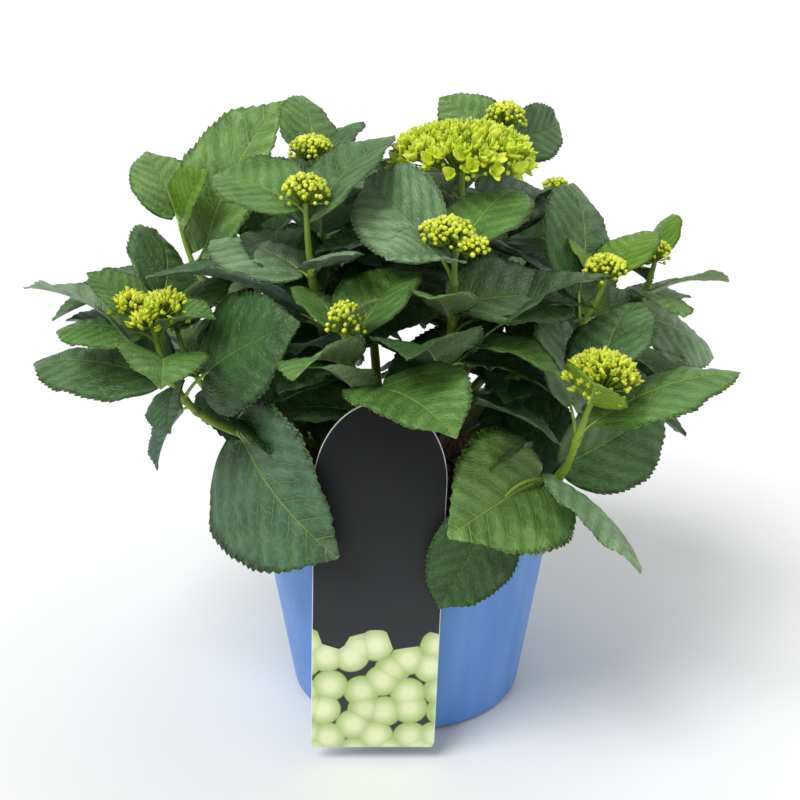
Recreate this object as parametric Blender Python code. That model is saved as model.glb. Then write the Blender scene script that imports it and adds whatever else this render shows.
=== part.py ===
"""A young hydrangea shrub in its plastic pot, with a hang tag tied to one shoot.

Metres, +Z up.  The origin is the middle of the pot's flat underside and -Y is the front.

Each shoot leaves a knob of old wood as a bare bough and ends in a mass: an upper stem with
stalked leaves and, on most shoots, a flat head of buds.  A shoot's line is one cubic curve, and
every leaf is one row of its table: how far below the shoot's tip it grows, where it points and
how long it is.  The hidden back of the crown has no table of its own: a seeded rule gives it
crossed pairs of leaves.  A leaf that would touch something already grown is turned aside a
little, and left out if no turn clears it.
"""

import math
import random
from collections import namedtuple

import bpy
import bmesh
import numpy as np
from mathutils.bvhtree import BVHTree

MM = 0.001
GAP = 0.3 * MM                       # between two solids that touch

# ---- pot, soil and tag ------------------------------------------------------------------------
POT_HEIGHT = 178 * MM
RIM_RADIUS = 115 * MM
BASE_RADIUS = 85.5 * MM
POT_WALL = 2.0 * MM
POT_FLOOR = 3.0 * MM
COLLAR_DROP = 60 * MM                # the wider top band of the pot
COLLAR_STEP = 0.8 * MM
RIM_BEAD = 2.2 * MM                  # how far the bead round the rim stands out
BEAD_DEPTH = 7 * MM
RIM_EDGE = 0.7 * MM                  # bevel of the rim
FOOT_CHAMFER = 2.5 * MM
NOTCHES = 8                          # drain notches round the foot
NOTCH_WIDTH = 13 * MM
NOTCH_HEIGHT = 3.5 * MM
NOTCH_DEPTH = 16 * MM
SOIL_TOP = 158 * MM

TAG_WIDTH = 84 * MM
TAG_FOOT = 10 * MM                   # height of its lower edge
TAG_SHOULDER = 205 * MM              # where the arch of its top begins
TAG_TOP = 261 * MM
TAG_THICK = 1.0 * MM
TAG_FRONT = RIM_RADIUS + 1.6 * MM    # its front face, just clear of the pot's rim
TAG_X = -17 * MM                     # its middle line at the shoulder
TAG_TILT = 1.9                       # degrees out of plumb
TAG_HOLE = 2.7 * MM                  # radius
TAG_HOLE_DROP = 6.5 * MM             # its middle below the top edge
TIE_RADIUS = 0.9 * MM
TIE_HEIGHT = 239 * MM                # where it goes round the stem

# ---- wood ------------------------------------------------------------------------------------
KNOB_RADIUS = 13 * MM
KNOB_HEIGHT = 186 * MM               # height of a knob's middle
WOOD_FOOT = 10.5 * MM                # radius where old wood meets the soil
WOOD_NECK = 7.5 * MM
KNOBS = {
    "left": (-32 * MM, 0),
    "right": (34 * MM, -6 * MM),
    "back_left": (-19 * MM, 38 * MM),
    "front": (0, -36 * MM),
    "back_right": (20 * MM, 35 * MM),
}

# ---- shoots and leaves -------------------------------------------------------------------------
BOUGH_FOOT = 4.0 * MM                # radius of a bough where it leaves the knob
SHOOT_TIP = 1.8 * MM                 # radius just under the flower head
STEM_SIDES = 6
STALK_FOOT = 2.1 * MM
STALK_TIP = 1.4 * MM
BARE_BELOW = 12 * MM                 # a mass begins this far below its lowest leaf
LEAF_THICK = 2.4 * MM                # at the midrib, thinning to the edge
ELBOW_ROOM = 1.7                     # a leaf is tried for room this many times as thick
MOST_SCRAPS = 40                     # faces that a union may leave apart from its one body
LEAF_ROWS = (0.10, 0.32, 0.60, 0.84)     # shares of the length where a large leaf is measured off
SMALL_ROWS = (0.12, 0.42, 0.78)
SMALL_LEAF = 72                          # millimetres, the longest leaf that has the small rows
STALK_SHARE = 0.22                   # stalk length as a share of its leaf
SPACE_RADIUS = 300 * MM              # no leaf reaches further from the pot's axis
SPACE_FLOOR = 60 * MM                # nor lower than this

# drop: mm below the shoot's tip; turn: degrees round Z from +X; rise: degrees above level from the
# leaf's foot to its tip; length: mm; roll: degrees about that line; arch: per cent of the length;
# fold: degrees that each half stands up; stalk: mm; width: share of the length
Leaf = namedtuple("Leaf", "drop turn rise length roll arch fold stalk width swing",
                  defaults=(0, 8, 15, None, 0.78, 0))
# sweep: degrees from upright where it leaves the knob; reach: how far that direction holds;
# lean: degrees from upright at its tip; climb: how far that direction holds
Shoot = namedtuple("Shoot", "name knob tip sweep reach lean climb domes leaves",
                   defaults=((), ()))
# one dome of a flower head: offset from the shoot's tip, radius and height, all mm
Dome = namedtuple("Dome", "x y z radius height")

SHOOTS = (
    Shoot("left", "left", (-166, -50, 294), 83, 0.62, 3, 0.34,
          (Dome(9, 0, 4, 16, 13), Dome(-15, 3, 4, 13, 12), Dome(-4, -9, -3, 10, 9)),
          (Leaf(10, 160, 35, 50, roll=-15),
           Leaf(10, -30, 15, 45, roll=15, fold=30),
           Leaf(18, 160, -5, 66, roll=-10, fold=-10),
           Leaf(18, 55, 20, 64, roll=-10, fold=-10, stalk=20),
           Leaf(34, -80, 5, 80, roll=-10, stalk=20),
           Leaf(30, 100, 20, 96, roll=50, fold=0, stalk=42),
           Leaf(62, 160, 0, 98, roll=-10, fold=-10, stalk=25),
           Leaf(61, -31, 31, 88, roll=63, fold=-3, stalk=32, width=0.91),
           Leaf(54, 160, 25, 108, roll=17, arch=13),
           Leaf(52, -85, -20, 45, roll=40, stalk=10),
           Leaf(74, 165, -65, 52, fold=40, width=0.5),
           Leaf(115, -47, -28, 110, roll=79, fold=12, stalk=33, width=1.05, swing=-42))),
    Shoot("centre_left", "front", (-38, -90, 297), 35, 0.42, 0, 0.38,
          (Dome(0, 0, 3, 12, 15),),
          (Leaf(6, -25, 50, 32, fold=35, width=0.62),
           Leaf(10, 120, 15, 60, roll=20, fold=0),
           Leaf(15, 60, 20, 74, fold=20),
           Leaf(26, 230, 10, 68, roll=25, arch=14, stalk=5),
           Leaf(52, -60, -2, 87, roll=8, fold=14, stalk=29, width=0.88),
           Leaf(52, 240, 30, 58))),
    Shoot("right_low", "right", (120, -90, 260), 95, 0.78, 22, 0.62,
          (Dome(2, 0, 4, 23, 18),),
          (Leaf(17, -99, 31, 59, roll=-32, fold=9, stalk=11),
           Leaf(9, 65, 20, 80, roll=-15, fold=0, stalk=20),
           Leaf(38, 10, 15, 95, fold=-10),
           Leaf(42, 100, 40, 82, roll=40, fold=-5, stalk=28),
           Leaf(80, 35, 15, 92, roll=70, fold=20, stalk=15),
           Leaf(86, -129, -2, 102, roll=-44, fold=12, stalk=10, width=0.9),
           Leaf(88, -60, -20, 88, roll=-35, fold=-15, stalk=18),
           Leaf(80, 187, -63, 76, roll=-80, fold=20, arch=2, stalk=63, swing=40))),
    Shoot("centre", "front", (30, -60, 345), 30, 0.42, 0, 0.38,
          (Dome(-5, 0, 3, 19, 14), Dome(11, -7, -2, 10, 9)),
          (Leaf(12, 225, 10, 58, roll=-20, fold=20, stalk=5),
           Leaf(10, 60, 20, 78, fold=-5, stalk=20),
           Leaf(26, 125, 25, 86, roll=-50, fold=25, stalk=28),
           Leaf(42, 30, -10, 95, roll=25, fold=10, stalk=6, arch=10),
           Leaf(52, 230, 25, 58))),
    Shoot("upper_left_front", "left", (-66, -25, 366), 20, 0.42, 0, 0.38,
          (Dome(0, 0, 3, 16, 14),),
          (Leaf(9, 145, 10, 74, roll=-25, fold=10, stalk=10),
           Leaf(16, 45, 25, 88, roll=-5, fold=10, stalk=8),
           Leaf(56, 140, 5, 90, roll=-5, fold=-15, stalk=14),
           Leaf(50, -60, 20, 54, fold=-10, stalk=12),
           Leaf(75, 125, 20, 82))),
    Shoot("crown", "back_right", (38, 25, 377), 35, 0.42, 0, 0.38,
          (Dome(0, 0, 6, 49, 27),),
          (Leaf(25, 120, 0, 80),
           Leaf(25, 30, -15, 72, roll=25, fold=0, stalk=20),
           Leaf(60, 210, 10, 92))),
    Shoot("right_high", "right", (136, 0, 309), 28, 0.42, 8, 0.38,
          (Dome(0, 0, 3, 15, 12),),
          (Leaf(8, 50, 20, 60, roll=-5, fold=0),
           Leaf(10, 115, 30, 46, roll=35, fold=-5),
           Leaf(38, 35, -5, 66, roll=5, fold=20, arch=12, stalk=10),
           Leaf(38, 88, 44, 94, roll=45, fold=-5, stalk=25, width=0.92))),
    Shoot("left_tip", "left", (-172, 100, 327), 55, 0.42, 12, 0.38, (),
          (Leaf(4, -49, 48, 54, roll=80, fold=18, stalk=10, width=0.86),
           Leaf(6, 125, 40, 64, roll=-5, fold=5, width=0.85),
           Leaf(36, 0, 60, 126, roll=40, fold=10, stalk=18, width=0.8))),
    Shoot("upper_left", "back_left", (-67, 50, 383), 30, 0.42, 8, 0.38,
          (Dome(0, 0, 3, 16, 12),),
          (Leaf(12, 115, 25, 66, roll=25, fold=-5),
           Leaf(10, 70, 15, 70, roll=-20, fold=-5, stalk=10),
           Leaf(60, 55, 25, 96, roll=-20, fold=-15, stalk=6))),
    Shoot("crown_back", "back_right", (73, 100, 400), 22, 0.42, 5, 0.38,
          (Dome(0, 0, 3, 15, 12),),
          (Leaf(17, 141, 27, 62, roll=-40, fold=-6, stalk=6),
           Leaf(20, 48, 8, 66, roll=70, fold=20, stalk=9, width=0.7))),
    Shoot("right_back", "right", (183, 60, 307), 65, 0.42, 12, 0.38,
          (Dome(0, 0, 3, 11, 11),),
          (Leaf(8, 65, 30, 50, roll=-35, fold=-10),
           Leaf(30, 25, 0, 74, roll=-20, fold=5, stalk=8),
           Leaf(28, -75, -15, 56, roll=-15, fold=-5, stalk=9),
           Leaf(50, 25, -30, 84, roll=35, fold=-15, stalk=12))),
    Shoot("back_right", "back_right", (113, 100, 348), 62, 0.42, 8, 0.38,
          (Dome(0, 0, 3, 10, 9),),
          (Leaf(12, 245, -5, 54, stalk=8),
           Leaf(8, 80, -35, 50))),
    # the hidden side, whose leaves come from the rule alone
    Shoot("rear_left", "back_left", (-125, 95, 320), 70, 0.42, 10, 0.38, (Dome(0, 0, 3, 15, 12),)),
    Shoot("rear", "back_left", (-32, 150, 338), 45, 0.42, 8, 0.38, (Dome(0, 0, 3, 20, 14),)),
    Shoot("rear_right", "back_right", (62, 172, 292), 75, 0.42, 12, 0.38, (Dome(0, 0, 3, 15, 12),)),
    Shoot("rear_far_right", "right", (150, 130, 262), 95, 0.50, 12, 0.40, (Dome(0, 0, 3, 13, 11),)),
    Shoot("rear_far_left", "left", (-178, 88, 250), 97, 0.50, 10, 0.40, (Dome(0, 0, 3, 14, 12),)),
)
# drop, length and rise of the rule's crossed pairs, from the shoot's tip down
PAIRS = ((9, 50, 42), (30, 80, 28), (62, 98, 10), (92, 100, -4))
# the pairs that the rule adds to a shoot that has a table; rear_far_left has lost its lowest pair
LOWER_PAIRS = {"crown": (2, 3), "crown_back": (2, 3), "upper_left": (2, 3), "back_right": (2, 3),
               "left_tip": (2, 3), "right_back": (3,), "right_high": (3,), "centre": (3,),
               "upper_left_front": (3,), "rear_far_left": (0, 1, 2)}
# turn and rise added, in degrees, and share of its length, when a leaf's own place is taken
NUDGES = ((0, 0, 1), (0, 6, 1), (0, -6, 1), (7, 0, 1), (-7, 0, 1), (7, 6, 1), (-7, 6, 1), (7, -6, 1),
          (-7, -6, 1), (0, 12, 1), (0, -12, 1), (14, 0, 1), (-14, 0, 1), (14, 10, 1), (-14, 10, 1),
          (14, -10, 1), (-14, -10, 1), (0, 20, 1), (0, -20, 1), (24, 0, 1), (-24, 0, 1), (24, 12, 1),
          (-24, 12, 1), (24, -12, 1), (-24, -12, 1))
SEARCH = tuple((turn, rise, share) for share in (1, 0.82, 0.68)
               for turn in (0, 20, -20, 40, -40, 65, -65, 90, -90) for rise in (0, 14, -14, 28, -28))


# ---- curves and shapes, all as arrays of points and lists of faces ------------------------------

def unit(vector):
    return vector / np.linalg.norm(vector)


def shoot_line(shoot):
    """The shoot's cubic curve from its knob to its tip: points, and their distance below the tip."""
    knob = np.array((*KNOBS[shoot.knob], KNOB_HEIGHT))
    tip = np.array(shoot.tip) * MM
    out = unit((tip - knob) * (1, 1, 0))
    upright = np.array((0, 0, 1.0))
    sweep = math.radians(shoot.sweep)
    lean = math.radians(shoot.lean)
    start = math.cos(sweep) * upright + math.sin(sweep) * out
    foot = knob + (KNOB_RADIUS + GAP) * start
    span = np.linalg.norm(tip - foot)
    first = foot + shoot.reach * span * start
    second = tip - shoot.climb * span * (math.cos(lean) * upright + math.sin(lean) * out)
    t = np.linspace(0, 1, 61)[:, None]
    points = ((1 - t) ** 3 * foot + 3 * t * (1 - t) ** 2 * first
              + 3 * t * t * (1 - t) * second + t ** 3 * tip)
    run = np.concatenate(((0.0,), np.cumsum(np.linalg.norm(np.diff(points, axis=0), axis=1))))
    return points, run[-1] - run


def along(line, drop):
    """The point that lies a given distance below the tip of a shoot's line."""
    points, drops = line
    return np.array([np.interp(-drop, -drops, points[:, axis]) for axis in range(3)])


def stem_radius(line, drop):
    return SHOOT_TIP + (BOUGH_FOOT - SHOOT_TIP) * drop / line[1][0]


def tube(points, radii, sides, paths=None):
    """A closed tube through points: each ring lies square to the path, both ends are flat."""
    points = np.asarray(points)
    if paths is None:
        paths = np.gradient(points, axis=0)
    side = np.cross(paths[0], (0.31, 0.95, 0.05))
    rings = []
    for centre, path, radius in zip(points, paths, radii):
        path = unit(path)
        side = unit(side - path * np.dot(side, path))
        turn = np.linspace(0, 2 * math.pi, sides, endpoint=False)[:, None]
        rings.append(centre + radius * (np.cos(turn) * side + np.sin(turn) * np.cross(path, side)))
    faces = []
    for ring in range(len(points) - 1):
        for k in range(sides):
            a = ring * sides + k
            b = ring * sides + (k + 1) % sides
            faces.append((a, b, b + sides, a + sides))
    last = (len(points) - 1) * sides
    faces.append(tuple(reversed(range(sides))))
    faces.append(tuple(range(last, last + sides)))
    return np.concatenate(rings), faces


def stem_piece(line, top, bottom, rings):
    drops = np.linspace(bottom, top, rings)
    paths = [along(line, d - 1 * MM) - along(line, d + 1 * MM) for d in drops]
    radii = [stem_radius(line, d) for d in drops]
    return tube([along(line, d) for d in drops], radii, STEM_SIDES, paths)


def aim(turn, rise):
    turn, rise = math.radians(turn), math.radians(rise)
    return np.array((math.cos(rise) * math.cos(turn), math.cos(rise) * math.sin(turn), math.sin(rise)))


def leaf_axes(leaf):
    """Along the leaf, to its left, and out of its upper face."""
    forward = aim(leaf.turn, leaf.rise)
    level = np.array((-math.sin(math.radians(leaf.turn)), math.cos(math.radians(leaf.turn)), 0.0))
    square = np.cross(forward, level)
    roll = math.radians(leaf.roll)
    left = level * math.cos(roll) + square * math.sin(roll)
    return forward, left, np.cross(forward, left)


def half_width(u):
    """Share of the greatest half width at u, 0 at the leaf's foot and 1 at its tip: a round foot,
    widest at 0.38, and sides that turn hollow where they run out into the tip."""
    widest = 0.385
    shape = (u / widest) ** 0.5 * ((1 - u) / (1 - widest)) ** 0.8
    near_tip = np.clip((u - 0.78) / 0.22, 0, 1)
    return shape * (1 - 0.30 * near_tip ** 2 * (3 - 2 * near_tip))


def leaf_point(leaf, foot, u, v):
    """The point at u along the leaf and v across it, -1 to 1, on the leaf's middle surface."""
    forward, left, outward = leaf_axes(leaf)
    length = leaf.length * MM
    across = leaf.width * length / 2 * half_width(u) * v
    back = 0.10 * abs(v) * (1 - u) ** 3
    fold = math.radians(leaf.fold)
    lift = abs(across) * math.sin(fold) + leaf.arch / 100 * length * 4 * u * (1 - u)
    return foot + (u - back) * length * forward + across * math.cos(fold) * left + lift * outward


def stalk_length(leaf):
    return (STALK_SHARE * leaf.length if leaf.stalk is None else leaf.stalk) * MM


def leaf_foot(leaf, line):
    """The stalk leaves the stem at a steeper angle than its leaf's, and may swing to one side."""
    return along(line, leaf.drop * MM) + stalk_length(leaf) * aim(leaf.turn + leaf.swing,
                                                                  0.5 * leaf.rise + 30)


def leaf_shape(leaf, line, thick):
    """A stalk that turns into a leaf: a square tube whose rings widen to a lens with sharp edges."""
    foot = leaf_foot(leaf, line)
    forward, left, outward = leaf_axes(leaf)
    node = along(line, leaf.drop * MM)
    way = unit(foot - node)
    points = []
    for centre, heading, radius in ((node, way, STALK_FOOT), (foot, unit(way + forward), STALK_TIP)):
        side = unit(left - heading * np.dot(left, heading))
        up = np.cross(heading, side)
        points += [centre + radius * side, centre + radius * up, centre - radius * side, centre - radius * up]
    for u in LEAF_ROWS if leaf.length > SMALL_LEAF else SMALL_ROWS:
        middle = leaf_point(leaf, foot, u, 0)
        points += [leaf_point(leaf, foot, u, 1), middle + outward * thick / 2,
                   leaf_point(leaf, foot, u, -1), middle - outward * thick / 2]
    points.append(leaf_point(leaf, foot, 1.0, 0))
    last = len(points) - 5
    faces = [(0, 1, 2, 3)]
    for k in range(4):
        a, b = k, (k + 1) % 4
        faces += [(a + row, a + row + 4, b + row + 4, b + row) for row in range(0, last, 4)]
        faces.append((a + last, len(points) - 1, b + last))
    return np.array(points), faces


def dome_shape(dome, tip, sides=8):
    """A flat-topped cushion of buds: rings that follow a quarter ellipse, over a low cone."""
    centre = tip + np.array((dome.x, dome.y, dome.z)) * MM
    rings = ((0.45, -0.42), (1.0, 0.0), (0.88, 0.52), (0.50, 0.90))
    points = [centre - (0, 0, 0.55 * dome.height * MM)]
    for share, rise in rings:
        turn = np.linspace(0, 2 * math.pi, sides, endpoint=False)
        points += list(centre + np.stack((share * dome.radius * MM * np.cos(turn),
                                          share * dome.radius * MM * np.sin(turn),
                                          np.full(sides, rise * dome.height * MM)), axis=1))
    points.append(centre + (0, 0, dome.height * MM))
    faces = []
    last = len(rings) - 1
    for k in range(sides):
        a, b = 1 + k, 1 + (k + 1) % sides
        faces.append((0, b, a))
        for ring in range(last):
            near, far = sides * ring, sides * (ring + 1)
            faces.append((a + near, b + near, b + far, a + far))
        faces.append((a + sides * last, b + sides * last, len(points) - 1))
    return np.array(points), faces


def turned_shape(profile, sides):
    """A solid of revolution round Z: profile holds (radius, height) from the axis round to it."""
    rings = [point for point in profile if point[0] > 0]
    turn = np.linspace(0, 2 * math.pi, sides, endpoint=False)
    points = [(0, 0, profile[0][1])]
    for radius, height in rings:
        points += list(np.stack((radius * np.cos(turn), radius * np.sin(turn),
                                 np.full(sides, height)), axis=1))
    points.append((0, 0, profile[-1][1]))
    faces = []
    last = sides * (len(rings) - 1)
    for k in range(sides):
        a, b = 1 + k, 1 + (k + 1) % sides
        faces.append((0, b, a))
        for ring in range(len(rings) - 1):
            near, far = sides * ring, sides * (ring + 1)
            faces.append((a + near, b + near, b + far, a + far))
        faces.append((a + last, b + last, len(points) - 1))
    return np.array(points), faces


# ---- growing -------------------------------------------------------------------------------------

def rule_leaves(shoot):
    """Crossed pairs of leaves, each pair a quarter turn from the last, varied by a seeded draw."""
    pairs = LOWER_PAIRS.get(shoot.name, () if shoot.leaves else (0, 1, 2, 3))
    draw = random.Random(shoot.name)
    first = draw.uniform(0, 180)
    rows = []
    for order, (drop, length, rise) in enumerate(PAIRS):
        for side in (0, 180):
            leaf = Leaf(drop + draw.uniform(-3, 3), first + 90 * order + side + draw.uniform(-14, 14),
                        rise + draw.uniform(-9, 9), length * draw.uniform(0.88, 1.08),
                        roll=draw.uniform(-14, 14), arch=draw.uniform(6, 15),
                        fold=draw.uniform(8, 24), width=draw.uniform(0.74, 0.88))
            if order in pairs:
                rows.append(leaf)
    return rows


def bare_from(shoot):
    """How far below a shoot's tip its mass ends and its bare bough begins."""
    return max(leaf.drop for leaf in [*shoot.leaves, *rule_leaves(shoot)]) * MM + BARE_BELOW


def bough_shape(shoot, line, rings):
    return stem_piece(line, bare_from(shoot) + GAP, line[1][0], rings)


def tree(shape):
    return BVHTree.FromPolygons([tuple(p) for p in shape[0]], shape[1])


def touches(shape, obstacles):
    mine = tree(shape)
    return any(mine.overlap(other) for other in obstacles)


def inside_space(shape):
    points = shape[0]
    return points[:, 2].min() > SPACE_FLOOR and np.hypot(points[:, 0], points[:, 1]).max() < SPACE_RADIUS


def grow(lines, standing):
    """Every shoot's flower head and the leaves that find room on it, leaf by leaf.

    standing holds the shapes that are there before the leaves: pot, soil, wood, tag and tie.
    """
    heads = {shoot.name: [dome_shape(dome, np.array(shoot.tip) * MM) for dome in shoot.domes]
             for shoot in SHOOTS}
    taken = {shoot.name: [tree(stem_piece(lines[shoot.name], 0.0, lines[shoot.name][1][0], 12))]
             + [tree(head) for head in heads[shoot.name]] for shoot in SHOOTS}
    boughs = {shoot.name: tree(bough_shape(shoot, lines[shoot.name], 12)) for shoot in SHOOTS}
    fixed = [tree(shape) for shape in standing]
    wanted = [(shoot, row, NUDGES) for shoot in SHOOTS for row in shoot.leaves]
    wanted += [(shoot, row, SEARCH) for shoot in SHOOTS for row in rule_leaves(shoot)]
    grown = {shoot.name: [] for shoot in SHOOTS}
    for shoot, row, tries in wanted:
        line = lines[shoot.name]
        others = fixed + [boughs[shoot.name]]
        others += [shape for name, shapes in taken.items() if name != shoot.name for shape in shapes]
        for turn, rise, share in tries:
            leaf = row._replace(turn=row.turn + turn, rise=row.rise + rise, length=row.length * share)
            shape = leaf_shape(leaf, line, ELBOW_ROOM * LEAF_THICK)
            if inside_space(shape) and not touches(shape, others):
                grown[shoot.name].append(leaf)
                taken[shoot.name].append(tree(shape))
                break
    return heads, grown


# ---- Blender objects -----------------------------------------------------------------------------

def finish(name, colour, roughness, metallic=0.0):
    material = bpy.data.materials.new(name)
    material.use_nodes = True
    shader = material.node_tree.nodes["Principled BSDF"]
    shader.inputs["Base Color"].default_value = (*colour, 1)
    shader.inputs["Roughness"].default_value = roughness
    shader.inputs["Metallic"].default_value = metallic
    return material


def solid(name, shape, material=None, smooth=True):
    mesh = bpy.data.meshes.new(name)
    mesh.from_pydata([tuple(p) for p in shape[0]], [], shape[1])
    built = bmesh.new()
    built.from_mesh(mesh)
    bmesh.ops.recalc_face_normals(built, faces=built.faces)
    built.to_mesh(mesh)
    built.free()
    if smooth:
        mesh.shade_smooth()
        mesh.set_sharp_from_angle(angle=math.radians(40))
    if material:
        mesh.materials.append(material)
    piece = bpy.data.objects.new(name, mesh)
    bpy.context.scene.collection.objects.link(piece)
    return piece


def bodies_of(built):
    """The separate bodies of a bmesh, as sets of faces, the largest first."""
    left = set(built.faces)
    bodies = []
    while left:
        body = {left.pop()}
        queue = list(body)
        while queue:
            near = {face for edge in queue.pop().edges for face in edge.link_faces} & left
            left -= near
            body |= near
            queue += near
        bodies.append(body)
    return sorted(bodies, key=len, reverse=True)


def keep_one_body(mesh):
    """Drop loose scraps and sealed hollows; tell whether what is left is one closed surface."""
    built = bmesh.new()
    built.from_mesh(mesh)
    scraps = [face for body in bodies_of(built)[1:] for face in body]
    bmesh.ops.delete(built, geom=scraps, context="FACES")
    closed = all(len(edge.link_faces) == 2 for edge in built.edges)
    built.to_mesh(mesh)
    built.free()
    return closed and len(scraps) <= MOST_SCRAPS


def fuse(name, shapes, material):
    """One Boolean union of the first shape with the collection of the others."""
    body = solid(name, shapes[0], material)
    parts = bpy.data.collections.new(name + "_parts")
    bpy.context.scene.collection.children.link(parts)
    for number, shape in enumerate(shapes[1:]):
        part = solid(f"{name}_part_{number}", shape)
        bpy.context.scene.collection.objects.unlink(part)
        parts.objects.link(part)
    for solver in ("MANIFOLD", "EXACT"):
        union = body.modifiers.new("union", "BOOLEAN")
        union.operation = "UNION"
        union.operand_type = "COLLECTION"
        union.collection = parts
        union.solver = solver
        joined = bpy.data.meshes.new_from_object(body.evaluated_get(bpy.context.evaluated_depsgraph_get()))
        body.modifiers.remove(union)
        if keep_one_body(joined):
            break
    body.data = joined
    joined.name = name
    joined.materials.clear()
    joined.materials.append(material)
    for part in list(parts.objects):
        bpy.data.objects.remove(part)
    bpy.data.collections.remove(parts)
    return body


def cut(piece, cutter):
    cutter.hide_render = True
    cutter.display_type = "WIRE"
    difference = piece.modifiers.new(cutter.name, "BOOLEAN")
    difference.operation = "DIFFERENCE"
    difference.solver = "EXACT"
    difference.object = cutter


def wall_radius(height):
    """Radius of the pot's outer wall under its collar."""
    return BASE_RADIUS + (RIM_RADIUS - RIM_BEAD - COLLAR_STEP - BASE_RADIUS) * height / POT_HEIGHT


def pot_profile():
    collar = POT_HEIGHT - COLLAR_DROP
    bead = POT_HEIGHT - BEAD_DEPTH
    edge = RIM_EDGE
    return ((0, 0), (BASE_RADIUS - FOOT_CHAMFER, 0), (BASE_RADIUS, FOOT_CHAMFER),
            (wall_radius(collar), collar), (wall_radius(collar) + COLLAR_STEP, collar + COLLAR_STEP),
            (wall_radius(bead) + COLLAR_STEP, bead - 1.5 * MM), (RIM_RADIUS - edge, bead),
            (RIM_RADIUS, bead + edge), (RIM_RADIUS, POT_HEIGHT - edge), (RIM_RADIUS - edge, POT_HEIGHT),
            (RIM_RADIUS - RIM_BEAD - POT_WALL + edge, POT_HEIGHT),
            (wall_radius(POT_HEIGHT) + COLLAR_STEP - POT_WALL, POT_HEIGHT - edge),
            (wall_radius(POT_FLOOR) - POT_WALL, POT_FLOOR), (0, POT_FLOOR))


def inner_radius(height):
    """Radius of the straight inner wall, from the floor to the rim."""
    low = wall_radius(POT_FLOOR) - POT_WALL
    high = wall_radius(POT_HEIGHT) + COLLAR_STEP - POT_WALL
    return low + (high - low) * (height - POT_FLOOR) / (POT_HEIGHT - RIM_EDGE - POT_FLOOR)


def soil_profile():
    low = POT_FLOOR + GAP
    return ((0, low), (inner_radius(low) - GAP, low), (inner_radius(SOIL_TOP) - GAP, SOIL_TOP),
            (0, SOIL_TOP))


def make_pot(material):
    pot = solid("pot", turned_shape(pot_profile(), 40), material)
    for number in range(NOTCHES):
        turn = (number + 0.5) * 2 * math.pi / NOTCHES
        bpy.ops.mesh.primitive_cube_add(size=1)
        notch = bpy.context.object
        notch.name = f"notch_{number}"
        notch.scale = (NOTCH_DEPTH, NOTCH_WIDTH, 2 * NOTCH_HEIGHT)
        notch.rotation_euler = (0, 0, turn)
        notch.location = (BASE_RADIUS * math.cos(turn), BASE_RADIUS * math.sin(turn), 0)
        cut(pot, notch)
    return pot


def knob_shape(name):
    """Old wood: it stands flat on the soil, narrows, and swells into a round knob."""
    x, y = KNOBS[name]
    low = SOIL_TOP + GAP
    neck = KNOB_HEIGHT - math.sqrt(KNOB_RADIUS ** 2 - WOOD_NECK ** 2)
    profile = [(low, WOOD_FOOT), (low + 5 * MM, WOOD_NECK + 1 * MM), (neck - 2 * MM, WOOD_NECK)]
    for degrees in (-35, -5, 25, 52, 76):
        angle = math.radians(degrees)
        profile.append((KNOB_HEIGHT + KNOB_RADIUS * math.sin(angle), KNOB_RADIUS * math.cos(angle)))
    return tube([(x, y, z) for z, radius in profile], [radius for z, radius in profile], 9)


def tag_middle(height):
    return TAG_X + (height - TAG_SHOULDER) * math.tan(math.radians(TAG_TILT))


def tag_shape():
    """A flat strip with an elliptic arch for its top, hanging a little out of true."""
    arch = TAG_TOP - TAG_SHOULDER
    outline = [(-TAG_WIDTH / 2, TAG_FOOT), (TAG_WIDTH / 2, TAG_FOOT)]
    for turn in np.linspace(0, math.pi, 17):
        outline.append((TAG_WIDTH / 2 * math.cos(turn), TAG_SHOULDER + arch * math.sin(turn)))
    count = len(outline)
    points = [(tag_middle(z) + x, y, z) for y in (-TAG_FRONT, -TAG_FRONT + TAG_THICK) for x, z in outline]
    faces = [tuple(range(count)), tuple(reversed(range(count, 2 * count)))]
    faces += [(k, k + count, (k + 1) % count + count, (k + 1) % count) for k in range(count)]
    return np.array(points), faces


def tie_path(line):
    """The closed way of the tie: through the tag's hole, round the stem behind it, over the top."""
    hole = TAG_TOP - TAG_HOLE_DROP
    x = tag_middle(hole)
    front = -TAG_FRONT - TIE_RADIUS - 0.5 * MM
    middle = -TAG_FRONT + TAG_THICK / 2
    behind = -TAG_FRONT + TAG_THICK + TIE_RADIUS + 1.5 * MM
    rise = TAG_HOLE - TIE_RADIUS - 0.45 * MM
    points, drops = line
    drop = float(np.interp(TIE_HEIGHT, points[:, 2], drops))
    centre = along(line, drop)
    path = unit(along(line, drop - 1 * MM) - centre)
    back = unit(np.array((0, 1.0, 0)) - path * path[1])
    side = np.cross(path, back)
    radius = stem_radius(line, drop) + TIE_RADIUS + 0.5 * MM
    way = [(x, front, hole + rise - 1.2 * MM), (x, middle, hole + rise), (x, behind, hole + rise - 1 * MM)]
    for degrees in (-20, 25, 65, 90, 115, 155, 200):
        angle = math.radians(degrees)
        way.append(centre + radius * (side * math.cos(angle) + back * math.sin(angle)))
    way += [(x, behind, TAG_TOP - 1.5 * MM), (x, middle, TAG_TOP + TIE_RADIUS + 0.6 * MM),
            (x, front, TAG_TOP - 1 * MM)]
    return way


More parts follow.
